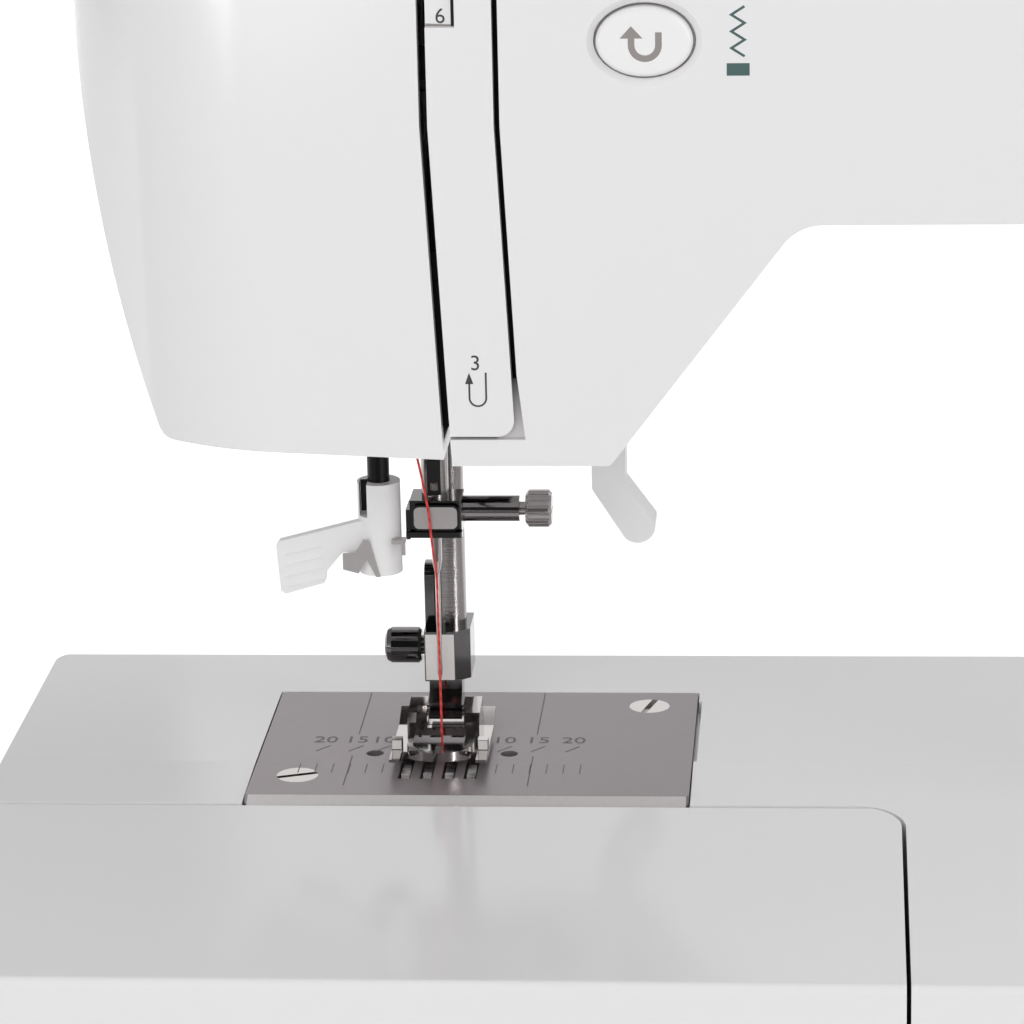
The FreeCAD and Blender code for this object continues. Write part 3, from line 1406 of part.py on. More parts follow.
def needle_group():
    centre = ("needle_x", "needle_y")
    bar_low = above("clamp_low + 2.8")
    bar = rod("needle_bar_rod", "Z", centre, (bar_low, "shaft_z"), "needle_bar_radius")
    stud_z = "shaft_z + crank_radius - link_length"
    collar_span = (f"{stud_z} - 4", f"{stud_z} + 4")
    collar = rod("needle_bar_collar", "Z", centre, collar_span, "needle_bar_radius + 1.2")
    stud = rod("needle_bar_stud", "X", ("needle_y", stud_z), ("needle_x", "needle_x + 8.1"), "2.4")
    groove = box(
        "needle_bar_groove", ("needle_x - 1.3", "needle_x + 1.3"),
        ("needle_y - needle_bar_radius - 1", "needle_y - needle_bar_radius + 0.7"),
        (above("clamp_top + 0.6"), above("head_clearance + 30")),
    )
    grooved = cut("needle_bar_grooved", fuse("needle_bar_body", [bar, collar, stud]), [groove])
    rivet = rod("needle_bar_rivet", "Y", ("needle_x", above("clamp_top + 2.2")), (
        "needle_y - 2.4", "needle_y - 1"), "0.7")
    node(fuse("needle_bar", [grooved, rivet]), "needle_bar")

    guide_z = ("head_bottom + 3.5", "head_bottom + 10.5")
    cheek = ("needle_x - 12", "needle_x - 4.6")
    frame = fuse("bar_frame_body", [
        box("bar_frame_plate", cheek, ("needle_y + 1", "needle_y + 7"), (guide_z[0], "bar_frame_z")),
        rod("bar_frame_eye", "Y", ("bar_frame_x", "bar_frame_z"), ("needle_y + 1", "needle_y + 7"), "5"),
        box("bar_lug_low", ("needle_x - 6.5", "needle_x + 3.4"), ("needle_y - 3.6", "needle_y + 6"), guide_z),
        box("bar_lug_high", ("needle_x - 6.5", "needle_x + 3.4"), ("needle_y - 3.6", "needle_y + 6"), (
            f"{stud_z} + 6", f"{stud_z} + 12")),
        box("threader_lug", ("threader_x - 4", "needle_x - 6"), ("threader_y - 4", "needle_y + 2"), (
            "head_bottom + 18", "head_bottom + 26")),
    ])
    bores = [
        rod("bar_frame_bore", "Z", centre, ("head_bottom", "shaft_z"), "needle_bar_radius + running_fit"),
        rod("bar_frame_hole", "Y", ("bar_frame_x", "bar_frame_z"), ("needle_y", "needle_y + 8"),
            "2.5 + running_fit"),
        rod("threader_bore", "Z", ("threader_x", "threader_y"), ("head_bottom", "shaft_z"), (
            "threader_radius + running_fit")),
    ]
    node(cut("needle_bar_frame", frame, bores), "needle_bar_frame")

    low = above("clamp_low")
    high = above("clamp_top")
    boss = ("needle_y", above("clamp_low + 3.9"))
    face = prism(
        "clamp_face", "XZ",
        [
            ("needle_x - 4.1", above("clamp_low + 0.9")),
            ("needle_x + 4.9", above("clamp_low + 0.9")),
            ("needle_x + 4.9", above("clamp_low + 5.9")),
            ("needle_x - 4.1", above("clamp_low + 5.9")),
        ],
        ("needle_y - 5", "needle_y - 2"),
        [("1.2", [0, 1, 2, 3])],
    )
    clamp = fuse("clamp_body", [
        face,
        box("clamp_block", ("needle_x - 4.6", "needle_x + 5.3"), ("needle_y - 4.1", "needle_y + 3.9"),
            (low, high)),
        rod("clamp_barrel", "X", boss, ("needle_x + 5", "needle_x + 16.2"), "2.5"),
        box("clamp_guide_side", ("needle_x - 5.3", "needle_x - 4.5"), ("needle_y - 4.8", "needle_y + 2"), (
            above("clamp_low - 0.9"), above("clamp_low + 5"))),
        box("clamp_guide_foot", ("needle_x - 5.3", "needle_x + 5.4"), ("needle_y - 5.2", "needle_y - 3.2"), (
            above("clamp_low - 0.5"), above("clamp_low + 0.6"))),
    ])
    needle_bore = rod("clamp_needle_bore", "Z", centre, (above("clamp_low - 3"), bar_low), "1.02")
    bar_bore = rod("clamp_bar_bore", "Z", centre, (bar_low, above("clamp_top + 1")), "needle_bar_radius")
    screw_bore = rod("clamp_screw_bore", "X", boss, ("needle_x + 2.8", "needle_x + 17"), "1.3 + running_fit")
    node(cut("needle_clamp", clamp, [needle_bore, bar_bore, screw_bore]), "needle_clamp")

    knob = turned("clamp_knob", "X", boss, "needle_x", [
        ("0", "3.2"),
        ("1.3", "3.2"),
        ("1.3", "17.4"),
        ("3", "17.4"),
        ("3.6", "18"),
        ("3.6", "21.8"),
        ("3", "22.4"),
        ("0", "22.4"),
    ])
    slot = box(
        "clamp_screw_slot", ("needle_x + 21.4", "needle_x + 23"), ("needle_y - 4", "needle_y + 4"),
        (above("clamp_low + 3.5"), above("clamp_low + 4.3")),
    )
    grooves = knurl("clamp_knurl", boss, 3.75, 18, ("needle_x + 17", "needle_x + 22.6"))
    node(cut("clamp_screw", knob, grooves + [slot]), "clamp_screw")

    tip = "needle_tip_rise"
    blade = turned("needle_blank", "Z", centre, "bed_height", [
        ("0", tip),
        ("0.5", f"{tip} + 2.8"),
        ("0.5", "clamp_low - 9"),
        ("1", "clamp_low - 6.5"),
        ("1", "clamp_low + 2.8"),
        ("0", "clamp_low + 2.8"),
    ])
    eye = box(
        "needle_eye", ("needle_x - 0.2", "needle_x + 0.2"), ("needle_y - 2", "needle_y + 2"),
        (above(f"{tip} + 3"), above(f"{tip} + 4.6")),
    )
    node(cut("needle", blade, [eye]), "needle")


def knurl(name, centre, radius, count, span):
    """Cutters for shallow grooves round a small knob on X."""
    cutters = []
    for step in range(count):
        turn = 2 * math.pi * step / count
        spot = (
            f"{centre[0]} + {radius * math.cos(turn):.6f}",
            f"{centre[1]} + {radius * math.sin(turn):.6f}",
        )
        cutters.append(rod(f"{name}_{step}", "X", spot, span, "0.35"))
    return cutters


def thread_group():
    """The needle thread, straight runs joined by tangent arcs, down the front of the needle."""
    radius = 0.2
    route = [
        ("needle_x - 5", "needle_y - 7.4", above("head_clearance + 34")),
        ("needle_x - 5", "needle_y - 7.4", above("head_clearance + 2")),
        ("needle_x - 1", "needle_y - 5.6", above("clamp_top + 0.8")),
        ("needle_x - 0.3", "needle_y - 5.6", above("clamp_low - 2.4")),
        ("needle_x", "needle_y - 0.85", above("clamp_low - 9.2")),
        ("needle_x + 0.1", "needle_y - 0.8", above("-0.6")),
    ]
    spots = [Vector(val(x), val(y), val(z)) for x, y, z in route]
    bend = 6
    edges = []
    start = spots[0]
    for before, corner, after in zip(spots, spots[1:], spots[2:]):
        arrive = (corner - before).normalize()
        leave = (after - corner).normalize()
        half = arrive.getAngle(leave) / 2
        reach = bend * math.tan(half)
        first = corner - arrive * reach
        last = corner + leave * reach
        inward = (leave - arrive).normalize()
        middle = corner + inward * (bend / math.cos(half) - bend)
        edges.append(Part.makeLine(start, first))
        edges.append(Part.Arc(first, middle, last).toShape())
        start = last
    edges.append(Part.makeLine(start, spots[-1]))
    path = Part.Wire(edges)
    section = Part.Wire(Part.makeCircle(radius, spots[0], spots[1] - spots[0]))
    node(feature("needle_thread", path.makePipeShell([section], True, False)), "needle_thread")


def take_up_group():
    """The take-up lever, whose tip stands out of the left thread slot."""
    thick = ("take_up_x - 0.2", "take_up_x + 0.4")
    arm = prism(
        "take_up_arm", "YZ",
        [
            ("take_up_y", "take_up_z - 4"),
            ("arm_front + 6", "take_up_z + 19.5"),
            ("arm_front - 7.5", "take_up_z + 23"),
            ("arm_front - 7.5", "take_up_z + 28"),
            ("arm_front + 6", "take_up_z + 26"),
            ("take_up_y", "take_up_z + 4"),
        ],
        thick,
        [("1.8", [2, 3])],
    )
    hub = rod("take_up_hub", "X", ("take_up_y", "take_up_z"), ("take_up_x - 1.2", "take_up_x + 1.6"), "5")
    bore = rod("take_up_bore", "X", ("take_up_y", "take_up_z"), ("take_up_x - 3", "take_up_x + 3"), (
        "2.5 + running_fit"))
    eye_centre = ("arm_front - 5", "take_up_z + 25.6")
    eye = rod("take_up_eye", "X", eye_centre, ("take_up_x - 2", "take_up_x + 2"), "1")
    node(cut("take_up_lever", fuse("take_up_body", [arm, hub]), [bore, eye]), "take_up_lever")


# Presser bar, holder, foot and lifter

def presser_group():
    centre = ("presser_x", "presser_y")
    collar_z = ("head_bottom + 9.6", "head_bottom + 15")
    bar = fuse("presser_body", [
        rod("presser_rod", "Z", centre, (above("ankle_low + 1"), "shaft_z - 36"), "presser_bar_radius"),
        rod("presser_collar", "Z", centre, collar_z, "presser_bar_radius + 2.2"),
        box("presser_arm", ("presser_x", "lifter_x + 11"), ("presser_y + 3.8", "needle_y + 19.7"), (
            "lifter_z + 2.5", "lifter_z + 6.5")),
        box("presser_bracket", ("presser_x - 3", "presser_x + 3"), ("presser_y", "needle_y + 19.7"), (
            "lifter_z + 2.5", "lifter_z + 6.5")),
    ])
    node(bar, "presser_bar")
    spring = ring("presser_spring", "Z", centre, ("lifter_z + 6.8", "shaft_z - 46.2"), (
        "presser_bar_radius + 1.6"), "presser_bar_radius + 0.4")
    node(spring, "presser_spring")

    front_y = "needle_y + 4.7"
    block = prism(
        "ankle_block", "XY",
        [
            ("needle_x - 3.5", front_y),
            ("needle_x + 2.6", front_y),
            ("needle_x + 5.4", "needle_y + 7.2"),
            ("needle_x + 5.4", "presser_y + 4.2"),
            ("needle_x - 3.5", "presser_y + 4.2"),
        ],
        (above("ankle_low"), above("ankle_high")),
        [("0.5", [0])],
    )
    neck = prism(
        "ankle_neck", "YZ",
        [
            ("needle_y + 2.2", above("4.2")),
            ("needle_y + 9", above("4.2")),
            ("needle_y + 10", above("ankle_low + 0.5")),
            (front_y, above("ankle_low + 0.5")),
            (front_y, above("ankle_low - 1.5")),
            ("needle_y + 2.2", above("ankle_low - 3.6")),
        ],
        ("foot_x - 3.2", "foot_x + 3.2"),
        [("1", [0])],
    )
    tab = prism(
        "ankle_tab", "YZ",
        [
            ("presser_y - 3", above("ankle_high - 1")),
            ("presser_y + 3", above("ankle_high - 1")),
            ("presser_y + 3", above("ankle_high + 12")),
            ("presser_y - 3", above("ankle_high + 12")),
        ],
        ("presser_x - presser_bar_radius - 1.9", "presser_x - presser_bar_radius"),
        [("2.4", [2, 3])],
    )
    screw_at = ("presser_y", above("screw_rise"))
    cutters = [
        rod("ankle_bore", "Z", centre, (above("ankle_low + 1"), above("ankle_high + 20")),
            "presser_bar_radius"),
        rod("ankle_screw_hole", "X", screw_at, ("needle_x - 5", "presser_x - presser_bar_radius + 0.1"), (
            "1.9 + running_fit")),
        rod("ankle_pin_slot", "X", ("needle_y + 5", above("5.4")), ("foot_x - 4", "foot_x + 4"), "1.25"),
        box("ankle_pin_mouth", ("foot_x - 4", "foot_x + 4"), ("needle_y + 3.75", "needle_y + 6.25"), (
            above("3"), above("5.4"))),
        box("ankle_groove", ("foot_x - 4", "foot_x + 4"), ("needle_y", "needle_y + 3.1"), (
            above("ankle_low - 5.2"), above("ankle_low - 4.2"))),
    ]
    node(cut("foot_holder", fuse("ankle_body", [block, neck, tab]), cutters), "foot_holder")

    screw = turned("holder_screw", "X", screw_at, "needle_x", [
        ("0", "-11.8"),
        ("2.2", "-11.8"),
        ("3.1", "-11.4"),
        ("3.55", "-10.5"),
        ("3.55", "-5.2"),
        ("3", "-4.6"),
        ("1.9", "-4.6"),
        ("1.9", "-1.9"),
        ("0", "-1.9"),
    ])
    node(screw, "holder_screw")

    lever = prism(
        "lifter_arm", "XZ",
        [
            ("lifter_x - 3.5", "lifter_z - 2"),
            ("needle_x + 28.9", above("58")),
            ("needle_x + 28.9", above("46")),
            ("needle_x + 35.2", above("36.1"), "3.5"),
            ("needle_x + 41.2", above("39.1")),
            ("needle_x + 35.5", above("47")),
            ("needle_x + 35.5", above("58")),
            ("lifter_x + 3.5", "lifter_z - 2"),
        ],
        ("needle_y + 20", "needle_y + 28"),
        [("2", [2])],
    )
    hub = rod("lifter_hub", "Y", ("lifter_x", "lifter_z"), ("needle_y + 20", "needle_y + 28"), "4")
    lobe = box(
        "lifter_lobe", ("lifter_x", "lifter_x + 8.5"), ("needle_y + 17.2", "needle_y + 28"),
        ("lifter_z - 1.5", "lifter_z + 1.5"),
    )
    pivot = ("lifter_x", "lifter_z")
    bore = rod("lifter_bore", "Y", pivot, ("needle_y + 16", "needle_y + 29"), "2 + running_fit")
    node(cut("presser_lifter", fuse("lifter_body", [lever, hub, lobe]), [bore]), "presser_lifter")


def foot_group():
    """The snap-on foot: a sole with turned-up toes, a rim round the slot and two cheeks."""
    under = "foot_lift"
    half = "foot_width / 2"
    top = f"{under} + 1.6"
    sole = prism(
        "foot_sole", "YZ",
        [
            ("needle_y - 12", above(under)),
            ("needle_y + 4", above(under)),
            ("needle_y + 9.6", above(f"{under} + 2.4")),
            ("needle_y + 9.1", above(f"{under} + 3.6")),
            ("needle_y + 3.6", above(top)),
            ("needle_y - 12", above(top)),
        ],
        (f"foot_x - {half}", f"foot_x + {half}"),
    )
    toes = toe_outline("foot_toes", "0", (above(under), above(f"{under} + 2.7")))
    hollow = toe_outline("foot_hollow", "1.1", (above(top), above(f"{under} + 4")))
    cheeks = [
        prism(
            f"foot_cheek_{side}", "YZ",
            [
                ("needle_y - 3", above(f"{under} + 1")),
                ("needle_y + 7.4", above(f"{under} + 1")),
                ("needle_y + 7.4", above("6.6")),
                ("needle_y + 6.2", above("7.9")),
                ("needle_y - 1.2", above("7")),
                ("needle_y - 3", above("5.6")),
            ],
            (low, high),
            [("0.6", [3])],
        )
        for side, low, high in (
            (0, "foot_x - 7", "foot_x - 3.6"),
            (1, "foot_x + 3.6", "foot_x + 7"),
        )
    ]
    pin = rod("foot_pin", "X", ("needle_y + 5", above("5.4")), ("foot_x - 4", "foot_x + 4"), "1.05")
    sides = [
        ("left", f"foot_x - {half}", f"foot_x - {half} + 2"),
        ("right", f"foot_x + {half} - 2", f"foot_x + {half}"),
    ]
    posts = [
        box(f"foot_post_{side}", (low, high), ("needle_y - 10.8", "needle_y - 8.6"), (
            above(f"{under} + 1"), above(f"{under} + 3.6")))
        for side, low, high in sides
    ]
    prongs = [
        box(f"foot_prong_{side}", (low, high), ("needle_y - 16.4", "needle_y - 11"), (
            above(under), above(top)))
        for side, low, high in sides
    ]
    ramp = prism(
        "foot_ramp", "YZ",
        [
            ("needle_y - 8.5", above(f"{under} - 0.1")),
            ("needle_y - 18", above(f"{under} + 1.2")),
            ("needle_y - 18", above(f"{under} - 0.1")),
        ],
        (f"foot_x - {half} - 1", f"foot_x + {half} + 1"),
    )
    cutters = [
        ramp,
        box("foot_needle_slot", ("needle_x - 4.7", "needle_x + 4.9"), ("needle_y - 7.6", "needle_y + 1.8"),
            (above("0"), above("9"))),
        box("foot_toe_gap", ("needle_x - 0.4", "needle_x + 1.2"), ("needle_y - 18", "needle_y - 2"), (
            above("0"), above("7"))),
        box("foot_well", ("foot_x - 3.5", "foot_x + 3.5"), ("needle_y + 1.6", "needle_y + 9.8"), (
            above("2.9"), above("5.6"))),
    ]
    flat = fuse("foot_flat", [sole, cut("foot_rim", toes, [hollow])] + cheeks + posts + prongs)
    node(fuse("presser_foot", [cut("foot_body", flat, cutters), pin]), "presser_foot")


def toe_outline(name, inset, span):
    """The round-fronted toes seen from above, or the hollow inside their rim."""
    return prism(
        name, "XY",
        [
            (f"foot_x - 6.4 + {inset}", f"needle_y - 15.6 + {inset}"),
            (f"foot_x + 6.4 - {inset}", f"needle_y - 15.6 + {inset}"),
            (f"foot_x + 6.4 - {inset}", "needle_y - 2"),
            (f"foot_x - 6.4 + {inset}", "needle_y - 2"),
        ],
        span,
        [(f"5.6 - {inset}", [0, 1])],
    )


# Threader

def threader_group():
    centre = ("threader_x", "threader_y")
    node(rod("threader_rod", "Z", centre, (above("sleeve_low + 1.5"), "shaft_z - 42"), "threader_radius"),
         "threader_rod")
    sleeve = ring("threader_sleeve", "Z", centre, (above("sleeve_low"), above("sleeve_high")), (
        "sleeve_radius"), "threader_radius + running_fit")
    notch = box(
        "sleeve_notch", ("threader_x - 3.6", "threader_x - 2"), ("threader_y - 5", "threader_y + 1"),
        (above("sleeve_high - 6.5"), above("sleeve_high + 1")),
    )
    arm = prism(
        "threader_arm", "XZ",
        [
            ("threader_x - 2.6", above("41.3")),
            ("threader_x - 2.6", above("47.7")),
            ("needle_x - 29.6", above("43.4")),
            ("needle_x - 30.2", above("42.6")),
            ("needle_x - 29.6", above("33.6")),
            ("needle_x - 28.7", above("32.9")),
            ("needle_x - 21.1", above("35.1")),
            ("needle_x - 20.7", above("37.3")),
            ("needle_x - 17.4", above("41.3")),
        ],
        ("threader_y - 2.6", "threader_y - 0.2"),
        [("1", [7, 8])],
    )
    ribs = []
    for order in range(4):
        drop = f"2.15 * {order}"
        ribs.append(prism(
            f"threader_rib_{order}", "XZ",
            [
                ("needle_x - 28.6", above(f"40.4 - {drop}")),
                ("needle_x - 21.4", above(f"42.1 - {drop}")),
                ("needle_x - 21.4", above(f"42.45 - {drop}")),
                ("needle_x - 28.6", above(f"40.75 - {drop}")),
            ],
            ("threader_y - 2.9", "threader_y - 2"),
        ))
    body = fuse("threader_body", [cut("threader_tube", sleeve, [notch]), arm] + ribs)
    hollow = rod("threader_hollow", "Z", centre, (above("sleeve_low - 1"), above("sleeve_high + 1")), (
        "threader_radius + running_fit"))
    node(cut("threader_lever", body, [hollow]), "threader_lever")
    wedge = prism(
        "threader_wedge", "XZ",
        [
            ("needle_x - 17.2", above("38.5")),
            ("needle_x - 14.2", above("37.7")),
            ("needle_x - 12.7", above("40.7")),
            ("needle_x - 10.9", above("37")),
            ("needle_x - 10.1", above("37")),
            ("needle_x - 12.2", above("44.3")),
            ("needle_x - 13.2", above("44.3")),
            ("needle_x - 14.7", above("41.9")),
            ("needle_x - 17.2", above("41.6")),
        ],
        ("threader_y - sleeve_radius - 0.7", "threader_y - sleeve_radius"),
    )
    arm_front_y = "threader_y - sleeve_radius - 0.6"
    hook = fuse("threader_wire", [
        box("threader_bracket", ("threader_x + 2.6", "needle_x - 5.2"), (arm_front_y, "threader_y - 2.4"), (
            above("43.5"), above("44.3"))),
        box("threader_prong", ("needle_x - 5.9", "needle_x - 5.2"), (
            arm_front_y, "threader_y - sleeve_radius + 0.2"), (above("41.3"), above("44.3"))),
    ])
    sleeve_space = rod("sleeve_space", "Z", centre, (above("sleeve_low - 1"), above("sleeve_high + 1")), (
        "sleeve_radius"))
    metal = [
        cut("threader_wedge_cut", wedge, [sleeve_space]),
        cut("threader_wire_cut", hook, [sleeve_space]),
    ]
    node(group("threader_hook", metal), "threader_hook")


# Controls and fittings

def dial_profile(radius, depth, stem):
    """A dial's (radius, distance) profile; it grows out of the front towards -Y."""
    return [
        ("0", f"-{depth}"),
        (f"{radius} - 2", f"-{depth}"),
        (f"{radius} - 0.6", f"-{depth} + 1.4"),
        (radius, "-0.6"),
        (stem, "-0.6"),
        (stem, "9"),
        ("0", "9"),
    ]


def control_group():
    spot = ("needle_x + button_reach", "bed_height + button_rise")
    cap_span = ("arm_front - 1", "arm_front + 8")
    cap = oval("button_cap", spot, cap_span, "button_half_width", "button_half_height")
    front_face = val("arm_front - 1")
    rounded = soften("button_round", cap, "0.9", lambda edge: (
        abs(edge.BoundBox.YMin - front_face) < 1e-3 and abs(edge.BoundBox.YMax - front_face) < 1e-3))
    flange = oval("button_flange", spot, ("arm_front + wall + 0.4", "arm_front + 8"), (
        "button_half_width + 1.6"), "button_half_height + 1.6")
    node(fuse("reverse_button", [rounded, flange]), "reverse_button")

    for name, centre, radius, depth, stem, ribs in (
        ("stitch_dial", ("dial_x", "stitch_z"), "stitch_dial_radius", "7", "6", 36),
        ("length_dial", ("dial_x", "length_z"), "length_dial_radius", "9", "4", 20),
    ):
        blank = turned(name + "_blank", "Y", centre, "arm_front", dial_profile(radius, depth, stem))
        cutters = []
        for step in range(ribs):
            turn = 2 * math.pi * step / ribs
            cutters.append(rod(
                f"{name}_rib_{step}", "Y",
                (
                    f"{centre[0]} + ({radius} + 0.6) * {math.sin(turn):.6f}",
                    f"{centre[1]} + ({radius} + 0.6) * {math.cos(turn):.6f}",
                ),
                (f"arm_front - {depth} - 1", "arm_front"), "1.1",
            ))
        mark = box(
            name + "_mark", (f"{centre[0]} - 0.7", f"{centre[0]} + 0.7"),
            (f"arm_front - {depth} - 1", f"arm_front - {depth} + 0.5"),
            (f"{centre[1]} + {radius} * 0.45", f"{centre[1]} + {radius} * 0.85"),
        )
        dial = cut(name + "_cut", blank, cutters + [mark])
        if name == "stitch_dial":
            grip = prism(
                "stitch_grip", "XZ",
                [
                    ("dial_x - 4", "stitch_z - 19"),
                    ("dial_x + 4", "stitch_z - 19"),
                    ("dial_x + 4", "stitch_z + 10"),
                    ("dial_x - 4", "stitch_z + 10"),
                ],
                ("arm_front - 16", "arm_front - 6"),
                [("3", [0, 1, 2, 3])],
            )
            dial = fuse("stitch_dial_body", [dial, grip])
        node(dial, name)

    tension = ring("tension_wheel", "X", ("tension_y", "tension_z"), ("tension_x - 4", "tension_x + 4"), (
        "tension_radius"), "2 + running_fit")
    teeth = []
    for step in range(28):
        turn = 2 * math.pi * step / 28
        teeth.append(rod(
            f"tension_tooth_{step}", "X",
            (
                f"tension_y + (tension_radius + 0.4) * {math.cos(turn):.6f}",
                f"tension_z + (tension_radius + 0.4) * {math.sin(turn):.6f}",
            ),
            ("tension_x - 5", "tension_x + 5"), "0.9",
        ))
    node(cut("tension_dial", tension, teeth), "tension_dial")

    winder = turned("winder_spindle", "Z", ("winder_x", "winder_y"), "arm_top", [
        ("0", "-18"),
        ("7", "-18"),
        ("7", "-15"),
        ("3", "-15"),
        ("3", "0.6"),
        ("8", "0.6"),
        ("8", "2.2"),
        ("2.8", "2.2"),
        ("2.8", "10.5"),
        ("2.2", "11.5"),
        ("0", "11.5"),
    ])
    node(winder, "winder_spindle")
    spool = turned("spool_pin", "Z", ("spool_x", "spool_y"), "arm_top", [
        ("0", "-48"),
        ("pin_radius + 1.5", "-48"),
        ("pin_radius + 1.5", "-45.5"),
        ("pin_radius", "-45.5"),
        ("pin_radius", "4"),
        ("pin_radius - 0.8", "5"),
        ("0", "5"),
    ])
    node(spool, "spool_pin")

    half = "handle_half"
    bar = ("handle_z - handle_bar / 2", "handle_z + handle_bar / 2")
    far = "arm_back - top_edge + 4"
    loop = prism(
        "handle_loop", "XY",
        [
            (f"handle_x - {half}", "handle_y"),
            (f"handle_x - {half} + handle_bar", "handle_y"),
            (f"handle_x - {half} + handle_bar", f"{far} - 11"),
            (f"handle_x + {half} - handle_bar", f"{far} - 11"),
            (f"handle_x + {half} - handle_bar", "handle_y"),
            (f"handle_x + {half}", "handle_y"),
            (f"handle_x + {half}", far),
            (f"handle_x - {half}", far),
        ],
        bar,
        [("6", [6, 7]), ("3", [2, 3])],
    )
    hubs = []
    holes = []
    for side, span in (
        (0, (f"handle_x - {half}", f"handle_x - {half} + handle_bar")),
        (1, (f"handle_x + {half} - handle_bar", f"handle_x + {half}")),
    ):
        hubs.append(rod(f"handle_hub_{side}", "X", ("handle_y", "handle_z"), span, "handle_bar / 2"))
        hole_span = (f"{span[0]} - 1", f"{span[1]} + 1")
        holes.append(rod(f"handle_hole_{side}", "X", ("handle_y", "handle_z"), hole_span, "2 + running_fit"))
    node(cut("carry_handle", fuse("handle_body", [loop] + hubs), holes), "carry_handle")

    rocker = prism(
        "switch_rocker", "XZ",
        [
            ("housing_right - 6", "switch_z - 9.2"),
            ("housing_right - 0.6", "switch_z - 9.2"),
            ("housing_right - 0.2", "switch_z"),
            ("housing_right + 1.6", "switch_z + 9.2"),
            ("housing_right - 6", "switch_z + 9.2"),
        ],
        ("needle_y - 19.6", "needle_y - 8.4"),
    )
    axle_span = ("needle_y - 20.2", "needle_y - 7.8")
    pivot = rod("switch_axle", "Y", ("housing_right - 4", "switch_z"), axle_span, "1.2")
    node(fuse("power_switch", [rocker, pivot]), "power_switch")
    inlet = box(
        "inlet_block", ("housing_right - 18", "housing_right"), ("needle_y + 4", "needle_y + 22"),
        ("switch_z - 8", "switch_z + 8"),
    )
    well = box(
        "inlet_well", ("housing_right - 14", "housing_right + 1"), ("needle_y + 6", "needle_y + 20"),
        ("switch_z - 6", "switch_z + 6"),
    )
    pins = [
        rod(f"inlet_pin_{order}", "X", (f"needle_y + {reach}", "switch_z"), (
            "housing_right - 15", "housing_right - 7"), "1.2")
        for order, reach in enumerate((9, 13, 17))
    ]
    node(fuse("power_inlet", [cut("inlet_socket", inlet, [well])] + pins), "power_inlet")


def write_parts():
    """Checks every object and writes each piece to its own file."""
    doc.recompute()
    broken = [obj.Name for obj in doc.Objects if {"Invalid", "Error"} & set(obj.State)]
    if broken:
        raise RuntimeError("objects did not build: " + ", ".join(broken))
    os.makedirs("parts", exist_ok=True)
    for piece in nodes:
        if piece.Shape.isNull() or not piece.Shape.isValid():
            raise RuntimeError(piece.Label + " has no valid shape")
        piece.Shape.exportStep(f"parts/{piece.Label}.step")
        print(piece.Label, len(piece.Shape.Solids), round(piece.Shape.Volume, 1))


base_group()
bed_group()
table_group()
plate_group()
feed_group()
cover_group()
frame_group()
drive_group()
hook_group()
bobbin_parts()
needle_group()
thread_group()
take_up_group()
presser_group()
foot_group()
threader_group()
control_group()
write_parts()
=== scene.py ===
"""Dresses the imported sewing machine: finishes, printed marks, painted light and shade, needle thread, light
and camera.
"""

import json
import logging
import math
from abc import ABC, abstractmethod
from dataclasses import dataclass
from enum import Enum

import bpy
from bpy.types import ID, Curve, Material, Mesh, Node, NodeSocket, NodeTree, Object
from mathutils import Matrix, Vector

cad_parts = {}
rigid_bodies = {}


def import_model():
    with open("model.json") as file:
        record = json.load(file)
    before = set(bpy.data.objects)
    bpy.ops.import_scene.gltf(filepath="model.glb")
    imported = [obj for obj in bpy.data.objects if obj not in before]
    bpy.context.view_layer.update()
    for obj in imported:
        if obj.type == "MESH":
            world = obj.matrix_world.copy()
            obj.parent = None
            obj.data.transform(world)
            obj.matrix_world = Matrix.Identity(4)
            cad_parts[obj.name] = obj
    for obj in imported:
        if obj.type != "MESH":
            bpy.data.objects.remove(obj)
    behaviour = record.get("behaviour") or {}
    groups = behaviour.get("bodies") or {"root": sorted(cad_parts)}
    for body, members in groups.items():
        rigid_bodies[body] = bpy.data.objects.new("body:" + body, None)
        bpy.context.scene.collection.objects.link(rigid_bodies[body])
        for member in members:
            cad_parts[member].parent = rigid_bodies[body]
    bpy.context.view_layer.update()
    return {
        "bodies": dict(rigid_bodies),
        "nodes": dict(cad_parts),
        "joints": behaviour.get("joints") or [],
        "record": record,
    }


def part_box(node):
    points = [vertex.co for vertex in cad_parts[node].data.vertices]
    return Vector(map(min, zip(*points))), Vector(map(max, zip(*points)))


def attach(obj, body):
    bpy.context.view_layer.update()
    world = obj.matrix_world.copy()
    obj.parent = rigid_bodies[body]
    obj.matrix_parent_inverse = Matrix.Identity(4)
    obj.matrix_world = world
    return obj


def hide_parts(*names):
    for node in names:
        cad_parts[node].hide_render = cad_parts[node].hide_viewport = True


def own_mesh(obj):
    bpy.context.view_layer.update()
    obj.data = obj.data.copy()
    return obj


LOG = logging.getLogger("sewing_machine")
MM = 0.001
Point = tuple[float, float]
Spot = tuple[float, float, float]
Tone = tuple[float, float, float, float]
Value = float | NodeSocket
RIGHT: Spot = (1.0, 0.0, 0.0)
BACK: Spot = (0.0, 1.0, 0.0)
UP: Spot = (0.0, 0.0, 1.0)
WHITE: Tone = (1.0, 1.0, 1.0, 1.0)


def chart(red: int, green: int, blue: int) -> Tone:
    """Turns a colour chart's 0 to 255 values into the linear tone that a shader takes.

    Args:
        red: The chart's red.
        green: The chart's green.
        blue: The chart's blue.

    Returns:
        The linear tone with full alpha.
    """
    parts = [value / 255 for value in (red, green, blue)]
    linear = [p / 12.92 if p <= 0.04045 else ((p + 0.055) / 1.055) ** 2.4 for p in parts]
    return (linear[0], linear[1], linear[2], 1.0)


